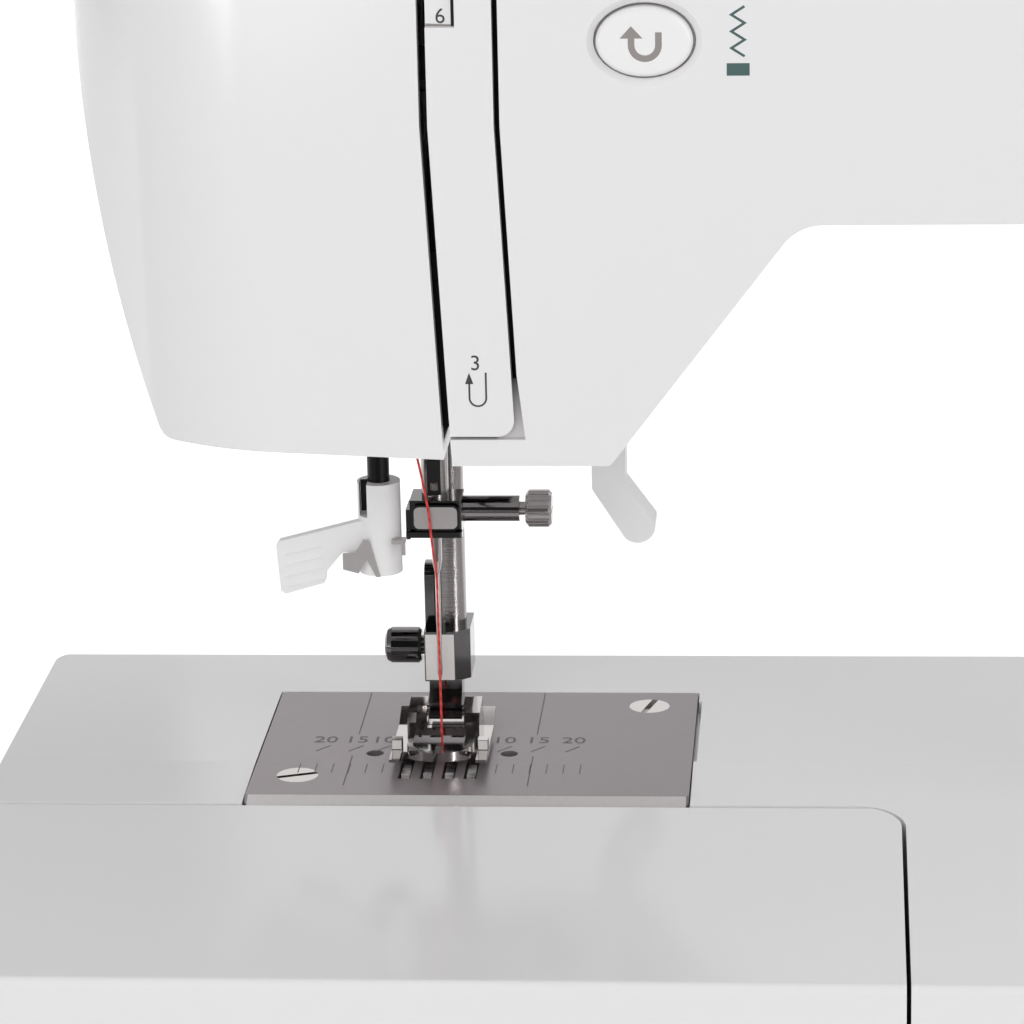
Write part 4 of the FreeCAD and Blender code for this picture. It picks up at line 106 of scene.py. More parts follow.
def round_stretch(centre: Point, radius: float, start: float, end: float, steps: int = 16) -> list[Point]:
    """Points along an arc, for an outline or a stroke.

    Args:
        centre: The arc's centre.
        radius: The arc's radius.
        start: The first point's angle in degrees.
        end: The last point's angle in degrees.
        steps: How many chords the arc is made of.

    Returns:
        The points from start to end.
    """
    turns = [math.radians(start + (end - start) * i / steps) for i in range(steps + 1)]
    return [(centre[0] + radius * math.cos(t), centre[1] + radius * math.sin(t)) for t in turns]


def show(name: str, data: ID) -> Object:
    """Makes an object of some data and links it into the scene.

    Args:
        name: The object's name.
        data: Its mesh, curve, lamp or camera.

    Returns:
        The new object.
    """
    made = bpy.data.objects.new(name, data)
    bpy.context.collection.objects.link(made)
    return made


def settle(holder: Object) -> Mesh:
    """Turns what an object evaluates to into a plain mesh, and removes the object.

    Args:
        holder: An object with a curve, letters or a modifier.

    Returns:
        The plain mesh.
    """
    mesh = bpy.data.meshes.new_from_object(holder.evaluated_get(bpy.context.evaluated_depsgraph_get()))
    holder.modifiers.clear()
    bpy.data.objects.remove(holder)
    return mesh


class Bench:
    """Adds nodes to one tree and links them."""

    def __init__(self, tree: NodeTree) -> None:
        """Keeps the tree that the nodes go into."""
        self.tree = tree

    def add(self, kind: str, **settings: object) -> Node:
        """Adds one node.

        Args:
            kind: The node's type name.
            settings: Properties of the node itself.

        Returns:
            The new node.
        """
        made = self.tree.nodes.new(kind)
        for name, value in settings.items():
            setattr(made, name, value)
        return made

    def link(self, source: NodeSocket, target: NodeSocket) -> None:
        """Joins an output to an input."""
        self.tree.links.new(source, target)

    def feed(self, socket: NodeSocket, value: Value) -> None:
        """Gives an input a link or a number.

        Args:
            socket: The input.
            value: An output's socket or a number.
        """
        if isinstance(value, NodeSocket):
            self.link(value, socket)
        else:
            socket.default_value = value

    def math(self, operation: str, first: Value, second: Value, clamp: bool = False) -> NodeSocket:
        """Adds a Math node on two sockets or numbers.

        Args:
            operation: The Math node's operation.
            first: A socket or a number.
            second: A socket or a number.
            clamp: Whether the result stays between 0 and 1.

        Returns:
            The result's socket.
        """
        made = self.add("ShaderNodeMath", operation=operation, use_clamp=clamp)
        for socket, value in zip(made.inputs, (first, second)):
            self.feed(socket, value)
        return made.outputs[0]

    def place(self) -> NodeSocket:
        """Returns the piece's Object coordinates."""
        return self.add("ShaderNodeTexCoord").outputs["Object"]

    def noise(self, scale: Value, detail: float = 2.0, place: NodeSocket | None = None) -> NodeSocket:
        """Adds noise over the piece.

        Args:
            scale: The noise's scale.
            detail: How many finer layers it has.
            place: The coordinates, or none for the plain Object coordinates.

        Returns:
            The noise's 0 to 1 socket.
        """
        made = self.add("ShaderNodeTexNoise")
        self.feed(made.inputs["Scale"], scale)
        self.feed(made.inputs["Detail"], detail)
        self.link(self.place() if place is None else place, made.inputs["Vector"])
        return made.outputs["Fac"]

    def spread(self, value: Value, low: Value, high: Value, span: Point = (0.0, 1.0)) -> NodeSocket:
        """Maps a value from its span to the range from low to high.

        Args:
            value: The value's socket.
            low: What the span's start gives.
            high: What the span's end gives.
            span: Where the value starts and ends.

        Returns:
            The mapped value's socket.
        """
        mapped = self.add("ShaderNodeMapRange")
        labels = ("Value", "From Min", "From Max", "To Min", "To Max")
        for label, given in zip(labels, (value, *span, low, high)):
            self.feed(mapped.inputs[label], given)
        return mapped.outputs["Result"]

    def scaled(self, tone: NodeSocket, level: NodeSocket) -> NodeSocket:
        """Scales a tone by a level that changes over the surface.

        Args:
            tone: The tone's socket.
            level: The level's socket.

        Returns:
            The scaled tone's socket.
        """
        made = self.add("ShaderNodeVectorMath", operation="SCALE")
        self.link(tone, made.inputs["Vector"])
        self.link(level, made.inputs["Scale"])
        return made.outputs["Vector"]


class SharedEffect(Enum):
    """The shader groups that more than one finish uses."""

    MOULDED_SKIN = "moulded skin"
    DRAWN_METAL = "drawn metal"


@dataclass(frozen=True)
class OpenGroup:
    """A shader group that is being built, with its input and output nodes."""

    bench: Bench
    given: Node
    result: Node

    def close(self, change: NodeSocket, strength: str, height: NodeSocket) -> NodeTree:
        """Links the outputs that every effect here gives.

        Args:
            change: The noise that darkens the tone and changes the roughness.
            strength: The input that says how much it darkens.
            height: The noise that gives the relief.

        Returns:
            The finished group.
        """
        fall = self.bench.math("MULTIPLY", change, self.given.outputs[strength])
        level = self.bench.math("SUBTRACT", 1.0, fall)
        rough = self.bench.spread(change, self.given.outputs["Rough Low"], self.given.outputs["Rough High"])
        self.bench.link(self.bench.scaled(self.given.outputs["Tone"], level), self.result.inputs["Colour"])
        self.bench.link(rough, self.result.inputs["Roughness"])
        self.bench.link(height, self.result.inputs["Height"])
        return self.bench.tree


class EffectShelf:
    """Builds each shared shader group once."""

    drift_scale = 11.0
    grain_detail = 3.0
    line_scale = 1.0
    line_detail = 4.0
    common_inputs = {"Tone": "Color", "Rough Low": "Float", "Rough High": "Float"}
    outputs = {"Colour": "Color", "Roughness": "Float", "Height": "Float"}

    def get(self, effect: SharedEffect) -> NodeTree:
        """Returns the group of that name, built on first use.

        Args:
            effect: Which group is wanted.

        Returns:
            The shader node group.
        """
        known = bpy.data.node_groups.get(effect.value)
        if known is not None:
            return known
        makers = {
            SharedEffect.MOULDED_SKIN: self._moulded_skin,
            SharedEffect.DRAWN_METAL: self._drawn_metal,
        }
        return makers[effect](effect.value)

    def _open(self, name: str, own_inputs: dict[str, str]) -> OpenGroup:
        """Starts a group with its sockets.

        Args:
            name: The group's name.
            own_inputs: The name and kind of each input beyond the common ones.

        Returns:
            The group, still without its inner nodes.
        """
        tree = bpy.data.node_groups.new(name, "ShaderNodeTree")
        for way, sockets in (("INPUT", {**self.common_inputs, **own_inputs}), ("OUTPUT", self.outputs)):
            for label, kind in sockets.items():
                tree.interface.new_socket(label, in_out=way, socket_type=f"NodeSocket{kind}")
        bench = Bench(tree)
        return OpenGroup(bench, bench.add("NodeGroupInput"), bench.add("NodeGroupOutput"))

    def _moulded_skin(self, name: str) -> NodeTree:
        """A moulded plastic skin: fine grain, and a slow drift of tone across the piece."""
        group = self._open(name, {"Drift": "Float", "Grain": "Float"})
        slow = group.bench.noise(self.drift_scale)
        fine = group.bench.noise(group.given.outputs["Grain"], self.grain_detail)
        return group.close(slow, "Drift", fine)

    def _drawn_metal(self, name: str) -> NodeTree:
        """Metal with fine lines along one direction, from drawing, turning or brushing."""
        group = self._open(name, {"Streak": "Float", "Stretch": "Vector"})
        stretched = group.bench.add("ShaderNodeVectorMath", operation="MULTIPLY")
        group.bench.link(group.bench.place(), stretched.inputs[0])
        group.bench.link(group.given.outputs["Stretch"], stretched.inputs[1])
        lines = group.bench.noise(self.line_scale, self.line_detail, stretched.outputs["Vector"])
        return group.close(lines, "Streak", lines)


@dataclass(frozen=True)
class Grade:
    """A change of tone along one axis of the frame, from full at the span's start to a level at its end, used
    to paint light and shade.
    """

    axis: str
    span: Point
    level: float

    def shade(self, bench: Bench, shader: Node) -> None:
        """Shades a shader's colour.

        Args:
            bench: Where the nodes go.
            shader: The material's shader, its colour already linked.
        """
        plain = shader.inputs["Base Color"].links[0].from_socket
        parts = bench.add("ShaderNodeSeparateXYZ")
        bench.link(bench.place(), parts.inputs["Vector"])
        along = bench.spread(parts.outputs[self.axis], 1.0, self.level, self.span)
        bench.link(bench.scaled(plain, along), shader.inputs["Base Color"])


@dataclass(frozen=True)
class Finish(ABC):
    """The look of one kind of surface."""

    name: str
    tone: Tone

    @abstractmethod
    def dress(self, bench: Bench, shader: Node) -> None:
        """Adds the finish's nodes and links them to the shader."""

    def material(self) -> Material:
        """Returns the finish's material, made on first use."""
        known = bpy.data.materials.get(self.name)
        if known is not None:
            return known
        made = bpy.data.materials.new(self.name)
        made.use_nodes = True
        self.dress(Bench(made.node_tree), made.node_tree.nodes["Principled BSDF"])
        made.diffuse_color = self.tone
        return made


@dataclass(frozen=True)
class GroupFinish(Finish):
    """A finish whose colour, roughness and relief come from a shared effect."""

    rough: Point = (0.24, 0.32)
    relief: float = 0.1
    relief_depth: float = 0.05 * MM
    grade: Grade | None = None

    @abstractmethod
    def effect(self) -> tuple[SharedEffect, dict[str, object]]:
        """Returns the shared effect and its own inputs beyond tone and roughness."""

    def dress(self, bench: Bench, shader: Node) -> None:
        """Puts the shared effect into the material and links what it gives."""
        effect, own = self.effect()
        group = bench.add("ShaderNodeGroup", node_tree=EffectShelf().get(effect))
        common = {"Tone": self.tone, "Rough Low": self.rough[0], "Rough High": self.rough[1]}
        for label, value in {**common, **own}.items():
            group.inputs[label].default_value = value
        bench.link(group.outputs["Colour"], shader.inputs["Base Color"])
        bench.link(group.outputs["Roughness"], shader.inputs["Roughness"])
        bump = bench.add("ShaderNodeBump")
        bump.inputs["Strength"].default_value = self.relief
        bump.inputs["Distance"].default_value = self.relief_depth
        bench.link(group.outputs["Height"], bump.inputs["Height"])
        bench.link(bump.outputs["Normal"], shader.inputs["Normal"])
        if self.grade is not None:
            self.grade.shade(bench, shader)


@dataclass(frozen=True)
class MouldedPlastic(GroupFinish):
    """Moulded plastic, rubber or ink: no metal, fine grain."""

    drift: float = 0.03
    grain: float = 1400.0

    def effect(self) -> tuple[SharedEffect, dict[str, object]]:
        """Returns the moulded skin with this plastic's drift and grain."""
        return SharedEffect.MOULDED_SKIN, {"Drift": self.drift, "Grain": self.grain}


@dataclass(frozen=True)
class DrawnMetal(GroupFinish):
    """Steel, chrome, brass or a casting, with lines across the stretch's large values."""

    streak: float = 0.12
    stretch: Spot = (900.0, 900.0, 900.0)
    metal: float = 1.0

    def effect(self) -> tuple[SharedEffect, dict[str, object]]:
        """Returns the drawn lines with this metal's streak and stretch."""
        return SharedEffect.DRAWN_METAL, {"Streak": self.streak, "Stretch": self.stretch}

    def dress(self, bench: Bench, shader: Node) -> None:
        """Adds the drawn lines and makes the surface metal."""
        super().dress(bench, shader)
        shader.inputs["Metallic"].default_value = self.metal


@dataclass(frozen=True)
class ClearPlastic(Finish):
    """A see-through moulding with faint haze."""

    rough: Point = (0.03, 0.12)
    haze_scale: float = 160.0
    clearness: float = 0.9
    refraction: float = 1.49

    def dress(self, bench: Bench, shader: Node) -> None:
        """Lets light through and roughens the surface here and there."""
        bench.link(bench.spread(bench.noise(self.haze_scale), *self.rough), shader.inputs["Roughness"])
        shader.inputs["Base Color"].default_value = self.tone
        shader.inputs["Transmission Weight"].default_value = self.clearness
        shader.inputs["IOR"].default_value = self.refraction


@dataclass(frozen=True)
class SewingThread(Finish):
    """Spun thread: lighter and darker turns of the twist."""

    dark: Tone = chart(196, 36, 34)
    pitch: float = 0.9 * MM
    wave_unit: float = 0.3
    roughness: float = 0.8
    fuzz: float = 0.3

    def dress(self, bench: Bench, shader: Node) -> None:
        """Bands the strand across its run."""
        twist = bench.add("ShaderNodeTexWave", bands_direction="DIAGONAL")
        twist.inputs["Scale"].default_value = self.wave_unit / self.pitch
        bench.link(bench.place(), twist.inputs["Vector"])
        blend = bench.add("ShaderNodeMix", data_type="RGBA")
        # The Mix node's two colours are its inputs 6 and 7, its mixed colour is output 2.
        blend.inputs[6].default_value = self.dark
        blend.inputs[7].default_value = self.tone
        bench.link(twist.outputs["Fac"], blend.inputs[0])
        bench.link(blend.outputs[2], shader.inputs["Base Color"])
        shader.inputs["Roughness"].default_value = self.roughness
        shader.inputs["Sheen Weight"].default_value = self.fuzz


class Finishes:
    """Every finish of the machine, by the slot or the mark that takes it."""

    white_shell = MouldedPlastic("white shell", chart(233, 232, 233), rough=(0.09, 0.14), drift=0.02)
    white_matt = MouldedPlastic("white control", chart(238, 237, 237), rough=(0.34, 0.42), drift=0.02)
    grey_plastic = MouldedPlastic("grey clamp face", chart(186, 184, 184), rough=(0.3, 0.4))
    black_plastic = MouldedPlastic("black moulding", chart(24, 23, 24), rough=(0.36, 0.5), drift=0.2)
    rubber = MouldedPlastic("rubber", chart(34, 33, 33), rough=(0.66, 0.8), drift=0.2, relief=0.3)
    lamp_lens = MouldedPlastic("lamp lens", chart(236, 234, 226), rough=(0.4, 0.5))
    # White plastic made lighter than the other controls: painted light that lifts the presser lifter out of
    # the head's shadow.
    lever_white = MouldedPlastic("lever white with painted light", chart(250, 249, 250), rough=(0.3, 0.4), drift=0.02)
    # Painted shade: a near-black sheet laid where there is only shadow, in the needle bar's groove, the
    # sleeve's notch and beside the tension tab.
    groove = MouldedPlastic("painted dark shade", chart(20, 19, 20), rough=(0.4, 0.5), drift=0.1, relief=0.02)
    # Painted light and shade in the right slot: light grey at its low end, where light comes in from below,
    # falling to near black 11 mm higher.
    slot_grey = MouldedPlastic(
        "slot floor painted light and shade", chart(206, 203, 203), rough=(0.4, 0.5), grade=Grade("Z", (159.0 * MM, 170.0 * MM), 0.08)
    )
    dark_ink = MouldedPlastic("dark print", chart(70, 67, 68), rough=(0.5, 0.6), drift=0.1, relief=0.02)
    # Grey print on the reverse button, and also painted shade along the tension tab's lower edge.
    grey_ink = MouldedPlastic("grey print and painted shade", chart(148, 141, 139), rough=(0.5, 0.6), drift=0.06, relief=0.02)
    green_ink = MouldedPlastic("green print", chart(70, 100, 98), rough=(0.5, 0.6), drift=0.08, relief=0.02)
    etch = MouldedPlastic("etched line", chart(108, 102, 103), rough=(0.5, 0.62), drift=0.2, relief=0.02)
    clear = ClearPlastic("clear bobbin", chart(240, 242, 244))
    thread_red = SewingThread("red thread", chart(236, 66, 58))
    steel = DrawnMetal(
        "brushed steel", chart(176, 170, 170), rough=(0.3, 0.44), stretch=(420.0, 5200.0, 420.0)
    )
    bright = DrawnMetal("chromed steel", chart(206, 202, 200), rough=(0.08, 0.16), streak=0.05, relief=0.04)
    ground = DrawnMetal(
        "ground bar", chart(180, 175, 174), rough=(0.16, 0.24), relief=0.5, stretch=(60.0, 60.0, 9000.0)
    )
    # Dark chrome for the needle clamp; its barrel, right of x -109.7 mm, is made 3.5 times lighter: painted
    # light for the bright band it shows.
    black_chrome = DrawnMetal(
        "black chrome with painted light", chart(96, 94, 94), rough=(0.06, 0.12), streak=0.06, relief=0.03,
        grade=Grade("X", (-110.2 * MM, -109.7 * MM), 3.5),
    )
    dark_chrome = DrawnMetal(
        "dark chrome", chart(128, 126, 126), rough=(0.07, 0.14), streak=0.06, relief=0.03
    )
    knob_steel = DrawnMetal("knob steel", chart(196, 192, 191), rough=(0.14, 0.2), streak=0.06, metal=0.9)
    teeth = DrawnMetal(
        "feed teeth", chart(238, 234, 232), rough=(0.2, 0.5), streak=1.1, relief=0.8,
        stretch=(500.0, 2200.0, 500.0),
    )
    # Painted highlight: a light, less metallic face laid on the foot holder's front and the foot's post
    # fronts, where the metal looks bright.
    nickel = DrawnMetal("painted front highlight", chart(240, 236, 234), rough=(0.3, 0.4), streak=0.05, metal=0.35)
    # Painted highlight: a lighter, less metallic copy of the plate's steel, laid on its front bevel.
    rim_steel = DrawnMetal("painted rim highlight", chart(214, 210, 210), rough=(0.4, 0.5), metal=0.3, streak=0.1)
    face_plate = DrawnMetal("clamp face", chart(196, 192, 191), rough=(0.34, 0.44), metal=0.55, streak=0.08)
    # Painted shade: the needle plate's tone falls to 0.78 of itself from x -150 mm to -66 mm, darker towards
    # the right.
    plate = DrawnMetal(
        "needle plate", chart(158, 150, 152), rough=(0.3, 0.4), metal=0.45, stretch=(420.0, 5200.0, 420.0),
        grade=Grade("X", (-150.0 * MM, -66.0 * MM), 0.78),
    )
    cast = DrawnMetal("cast aluminium", chart(160, 160, 162), rough=(0.45, 0.6), streak=0.2, relief=0.3)
    dark_metal = DrawnMetal("blackened steel", chart(52, 51, 52), rough=(0.3, 0.42), streak=0.2)
    brass = DrawnMetal("sintered bronze", chart(178, 140, 84), rough=(0.34, 0.46), streak=0.15)

    @classmethod
    def of_slot(cls, slot: str) -> Finish:
        """Returns the finish that a material slot of the record takes."""
        return getattr(cls, slot)


class Shells:
    """The CAD nodes themselves, each in the finish of its material slot or in one of its own."""

    own = {
        "needle_bar": Finishes.ground,
        "presser_bar": Finishes.ground,
        "needle_clamp": Finishes.black_chrome,
        "clamp_screw": Finishes.knob_steel,
        "holder_screw": Finishes.dark_chrome,
        "foot_holder": Finishes.dark_chrome,
        "feed_dog": Finishes.teeth,
        "threader_hook": Finishes.face_plate,
        "needle_plate": Finishes.plate,
        "presser_lifter": Finishes.lever_white,
    }

    def dress(self, frame: dict) -> None:
        """Gives each CAD node its own finish, or else its slot's.
        """
        for part in frame["record"]["subparts"]:
            node = frame["nodes"][part["node"]]
            node.data.materials.clear()
            finish = self.own.get(part["node"], Finishes.of_slot(part["material_slot"]))
            node.data.materials.append(finish.material())
            LOG.info("dressed %s in %s", part["node"], finish.name)


def place_piece(name: str, mesh: Mesh, finish: Finish, body: str) -> Object:
    """Puts a finished mesh into the scene as a piece of a body.

    Args:
        name: The piece's name.
        mesh: The mesh, already in the frame's metres.
        finish: Its finish.
        body: The CAD body it rides.

    Returns:
        The new object.
    """
    mesh.materials.clear()
    mesh.materials.append(finish.material())
    made = show(name, mesh)
    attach(made, body)
    LOG.info("placed %s on %s", name, body)
    return made


@dataclass(frozen=True)
class Face:
    """A flat face for marks, in millimetres from its own origin, that looks forward unless told."""

    origin: Spot
    right: Spot = RIGHT
    up: Spot = UP
    lift: float = 0.03

    def matrix(self) -> Matrix:
        """Returns the matrix from the face's millimetres to the frame's metres."""
        right, up = Vector(self.right), Vector(self.up)
        out = right.cross(up)
        base = (Vector(self.origin) + out * self.lift) * MM
        turn = Matrix((right * MM, up * MM, out * MM)).transposed().to_4x4()
        return Matrix.Translation(base) @ turn


class MarkSheet:
    """Flat marks on one face, gathered into one mesh."""

    mitre_limit = 0.4
    letter_steps = 4

    def __init__(self, name: str, face: Face) -> None:
        """Starts an empty sheet of marks.

        Args:
            name: The piece's name.
            face: Where the marks lie.
        """
        self.name = name
        self.face = face
        self.points: list[Spot] = []
        self.faces: list[list[int]] = []

    def polygon(self, outline: list[Point]) -> None:
        """Adds one filled outline, counter-clockwise seen from outside."""
        first = len(self.points)
        self.points += [(x, y, 0.0) for x, y in outline]
        self.faces.append(list(range(first, first + len(outline))))

    def rectangle(self, across: Point, rise: Point) -> None:
        """Adds a filled rectangle.

        Args:
            across: Its left and right sides.
            rise: Its lower and upper sides.
        """
        (left, right), (low, high) = across, rise
        self.polygon([(left, low), (right, low), (right, high), (left, high)])

    def stroke(self, line: list[Point], width: float) -> None:
        """Adds a line of one width with mitred turns.

        Args:
            line: The points of its middle.
            width: Its width in millimetres.
        """
        spots = [Vector(p) for p in line]
        ways = [(b - a).normalized() for a, b in zip(spots, spots[1:])]
        first = len(self.points)
        for i, spot in enumerate(spots):
            before, after = ways[max(i - 1, 0)], ways[min(i, len(ways) - 1)]
            across = Vector((-(before + after).y, (before + after).x)).normalized()
            reach = width / 2 / max(across.dot(Vector((-after.y, after.x))), self.mitre_limit)
            for side in (-reach, reach):
                edge = spot + across * side
                self.points.append((edge.x, edge.y, 0.0))
        for i in range(len(ways)):
            low = first + 2 * i
            self.faces.append([low, low + 2, low + 3, low + 1])

    def words(self, text: str, centre: Point, height: float) -> None:
        """Adds digits of a given height.

        Args:
            text: What is written.
            centre: The middle of the text.
            height: The digits' height in millimetres.
        """
        letters = bpy.data.curves.new("letters", "FONT")
        letters.body = text
        letters.resolution_u = self.letter_steps
        mesh = settle(show("letters", letters))
        low = [min(v.co[i] for v in mesh.vertices) for i in (0, 1)]
        high = [max(v.co[i] for v in mesh.vertices) for i in (0, 1)]
        scale = height / (high[1] - low[1])
        first = len(self.points)
        for vertex in mesh.vertices:
            x, y = (centre[i] + (vertex.co[i] - (low[i] + high[i]) / 2) * scale for i in (0, 1))
            self.points.append((x, y, 0.0))
        for polygon in mesh.polygons:
            corners = [first + i for i in polygon.vertices]
            self.faces.append(corners if polygon.normal.z > 0 else corners[::-1])
        bpy.data.curves.remove(letters)
        bpy.data.meshes.remove(mesh)

    def finish(self, finish: Finish, body: str, slot: str) -> None:
        """Makes the sheet's object and lets it ride its body.

        Args:
            finish: The marks' finish.
            body: The CAD body that the marks are on.
            slot: The record's material slot of the surface below; not used.
        """
        mesh = bpy.data.meshes.new(self.name)
        mesh.from_pydata(self.points, [], self.faces)
        mesh.transform(self.face.matrix())
        place_piece(self.name, mesh, finish, body)


@dataclass(frozen=True)
class TurnArrow:
    """A U-turn arrow that points up at its left end."""

    left: float
    right: float
    tail: float
    bend: float
    neck: float
    tip: float
    head: Point
    stroke: float

    def draw(self, sheet: MarkSheet) -> None:
        """Adds the arrow's line and its head to a sheet."""
        radius = (self.right - self.left) / 2
        curve = round_stretch((self.left + radius, self.bend), radius, 0, -180)
        sheet.stroke([(self.right, self.tail), *curve, (self.left, self.neck)], self.stroke)
        half, height = self.head
        base = self.tip - height
        sheet.polygon([(self.left - half, base), (self.left + half, base), (self.left, self.tip)])


@dataclass(frozen=True)
class TickRow:
    """Equal tick marks in a row, made by Geometry Nodes."""

    count: int
    step: float
    length: float
    width: float

    def tree(self) -> NodeTree:
        """Returns the geometry node tree with its named inputs, built on first use."""
        known = bpy.data.node_groups.get("tick row")
        if known is not None:
            return known
        tree = bpy.data.node_groups.new("tick row", "GeometryNodeTree")
        inputs = {"Count": "Int", "Step": "Float", "Length": "Float", "Width": "Float", "Finish": "Material"}
        for label, kind in inputs.items():
            tree.interface.new_socket(label, in_out="INPUT", socket_type=f"NodeSocket{kind}")
        tree.interface.new_socket("Ticks", in_out="OUTPUT", socket_type="NodeSocketGeometry")
        bench = Bench(tree)
        given, result = bench.add("NodeGroupInput"), bench.add("NodeGroupOutput")
        line = bench.add("GeometryNodeMeshLine", mode="OFFSET")
        apart = bench.add("ShaderNodeCombineXYZ")
        tick = bench.add("GeometryNodeMeshGrid")
        for label in ("Vertices X", "Vertices Y"):
            tick.inputs[label].default_value = 2
        spots = bench.add("GeometryNodeInstanceOnPoints")
        real = bench.add("GeometryNodeRealizeInstances")
        paint = bench.add("GeometryNodeSetMaterial")
        wires = (
            (given, "Count", line, "Count"),
            (given, "Step", apart, "X"),
            (apart, "Vector", line, "Offset"),
            (given, "Width", tick, "Size X"),
            (given, "Length", tick, "Size Y"),
            (line, "Mesh", spots, "Points"),
            (tick, "Mesh", spots, "Instance"),
            (spots, "Instances", real, "Geometry"),
            (real, "Geometry", paint, "Geometry"),
            (given, "Finish", paint, "Material"),
            (paint, "Geometry", result, "Ticks"),
        )
        for source, output, target, socket in wires:
            bench.link(source.outputs[output], target.inputs[socket])
        return tree

    def mesh(self, name: str, finish: Finish, face: Face) -> Mesh:
        """Runs the tree and turns its result into a plain mesh on a face.

        Args:
            name: The mesh's name.
            finish: The ticks' finish.
            face: Where they lie.

        Returns:
            The mesh in the frame's metres.
        """
        holder = show(name, bpy.data.meshes.new(name))
        tree = self.tree()
        modifier = holder.modifiers.new("ticks", "NODES")
        modifier.node_group = tree
        values = {
            "Count": self.count, "Step": self.step, "Length": self.length, "Width": self.width,
            "Finish": finish.material(),
        }
        for item in tree.interface.items_tree:
            if item.in_out == "INPUT":
                modifier[item.identifier] = values[item.name]
        made = settle(holder)
        made.transform(face.matrix())
        return made


@dataclass
class FrontPrints:
    """The small signs printed on the front of the head, with painted shade at the tension tab and painted
    light and shade in the right slot.
    """

    front: float
    strip_number: Point = (-102.65, 173.2)
    strip_number_height: float = 2.76
    strip_arrow: TurnArrow = TurnArrow(
        left=-103.8, right=-100.8, tail=171.4, bend=166.7, neck=169.4, tip=171.4,
        head=(0.75, 2.1), stroke=0.34,
    )
    tension_number: Point = (-107.4, 235.6)
    tension_number_height: float = 2.7
    tension_depth: float = 1.1
    tab_span: Point = (-110.0, -104.9)
    tab_rise: Point = (233.75, 249.8)
    tab_side: float = 0.65
    tab_sill: Point = (0.5, 0.3)
    slot_depth: float = 1.3
    slot_outline: tuple[Point, ...] = (
        (-99.0, 158.95), (-93.95, 158.95), (-95.2, 170.0), (-96.3, 170.0), (-96.2, 165.0), (-99.0, 162.0)
    )
    sign_centre: float = -55.4
    sign_width: float = 4.0
    bar_rise: Point = (224.8, 227.0)
    zigzag_rise: Point = (228.2, 237.0)
    zigzag_swing: float = 1.15
    zigzag_turns: int = 6
    zigzag_stroke: float = 0.45

    def build(self) -> None:
        """Prints the strip's threading sign, the tension window with its tab's painted shade, the slot's
        painted light and shade, and the stitch sign.
        """
        self._threading_sign()
        self._tension_window()
        self._slot_floor()
        self._stitch_sign()

    def _sheet(self, name: str, depth: float = 0.0) -> MarkSheet:
        """Starts a sheet on the front plane, or on one set back from it."""
        return MarkSheet(name, Face((0.0, self.front + depth, 0.0)))

    def _threading_sign(self) -> None:
        """Prints the number and the arrow on the thread strip."""
        strip = self._sheet("strip_threading_sign")
        strip.words("3", self.strip_number, self.strip_number_height)
        self.strip_arrow.draw(strip)
        strip.finish(Finishes.dark_ink, "machine", "white_shell")

    def _tension_window(self) -> None:
        """Prints the tension number and paints shade on its tab's right and lower edges."""
        window = self._sheet("tension_window_number", self.tension_depth)
        window.words("6", self.tension_number, self.tension_number_height)
        window.finish(Finishes.dark_ink, "machine", "white_shell")
        left, right = self.tab_span
        inner, low = right - self.tab_side, self.tab_rise[0]
        # Painted shade: a dark band down the tab's right edge.
        side = self._sheet("tension_tab_side_painted_shade", self.tension_depth)
        side.rectangle((inner, right), self.tab_rise)
        side.finish(Finishes.groove, "machine", "white_shell")
        # Painted shade: a grey band along the tab's lower edge.
        sill = self._sheet("tension_tab_sill_painted_shade", self.tension_depth)
        left_top, inner_top = (low + height for height in self.tab_sill)
        sill.polygon([(left, low), (inner, low), (inner, inner_top), (left, left_top)])
        sill.finish(Finishes.grey_ink, "machine", "white_shell")

    def _slot_floor(self) -> None:
        """Paints light and shade in the right slot: grey at its lower end, where light comes in from below,
        darker higher up.
        """
        floor = self._sheet("slot_floor_painted_light_and_shade", self.slot_depth)
        floor.polygon(list(self.slot_outline))
        floor.finish(Finishes.slot_grey, "machine", "white_shell")

    def _stitch_sign(self) -> None:
        """Prints a generic stitch sign: a zigzag line over a solid bar."""
        sign = self._sheet("stitch_sign")
        x, half = self.sign_centre, self.sign_width / 2
        sign.rectangle((x - half, x + half), self.bar_rise)
        base, top = self.zigzag_rise
        step = (top - base) / self.zigzag_turns
        sides = [self.zigzag_swing * (-1) ** i for i in range(self.zigzag_turns + 1)]
        sign.stroke([(x + side, base + step * i) for i, side in enumerate(sides)], self.zigzag_stroke)
        sign.finish(Finishes.green_ink, "machine", "white_shell")


@dataclass
class ReverseSign:
    """The grey turn-back arrow on the reverse button."""

    front: float
    arrow: TurnArrow = TurnArrow(
        left=-73.97, right=-69.2, tail=232.73, bend=230.48, neck=231.67, tip=233.83,
        head=(2.0, 2.16), stroke=1.15,
    )

    def build(self) -> None:
        """Draws the arrow and puts it on the button's body."""
        sheet = MarkSheet("reverse_arrow", Face((0.0, self.front, 0.0)))
        self.arrow.draw(sheet)
        sheet.finish(Finishes.grey_ink, "reverse_button", "white_matt")


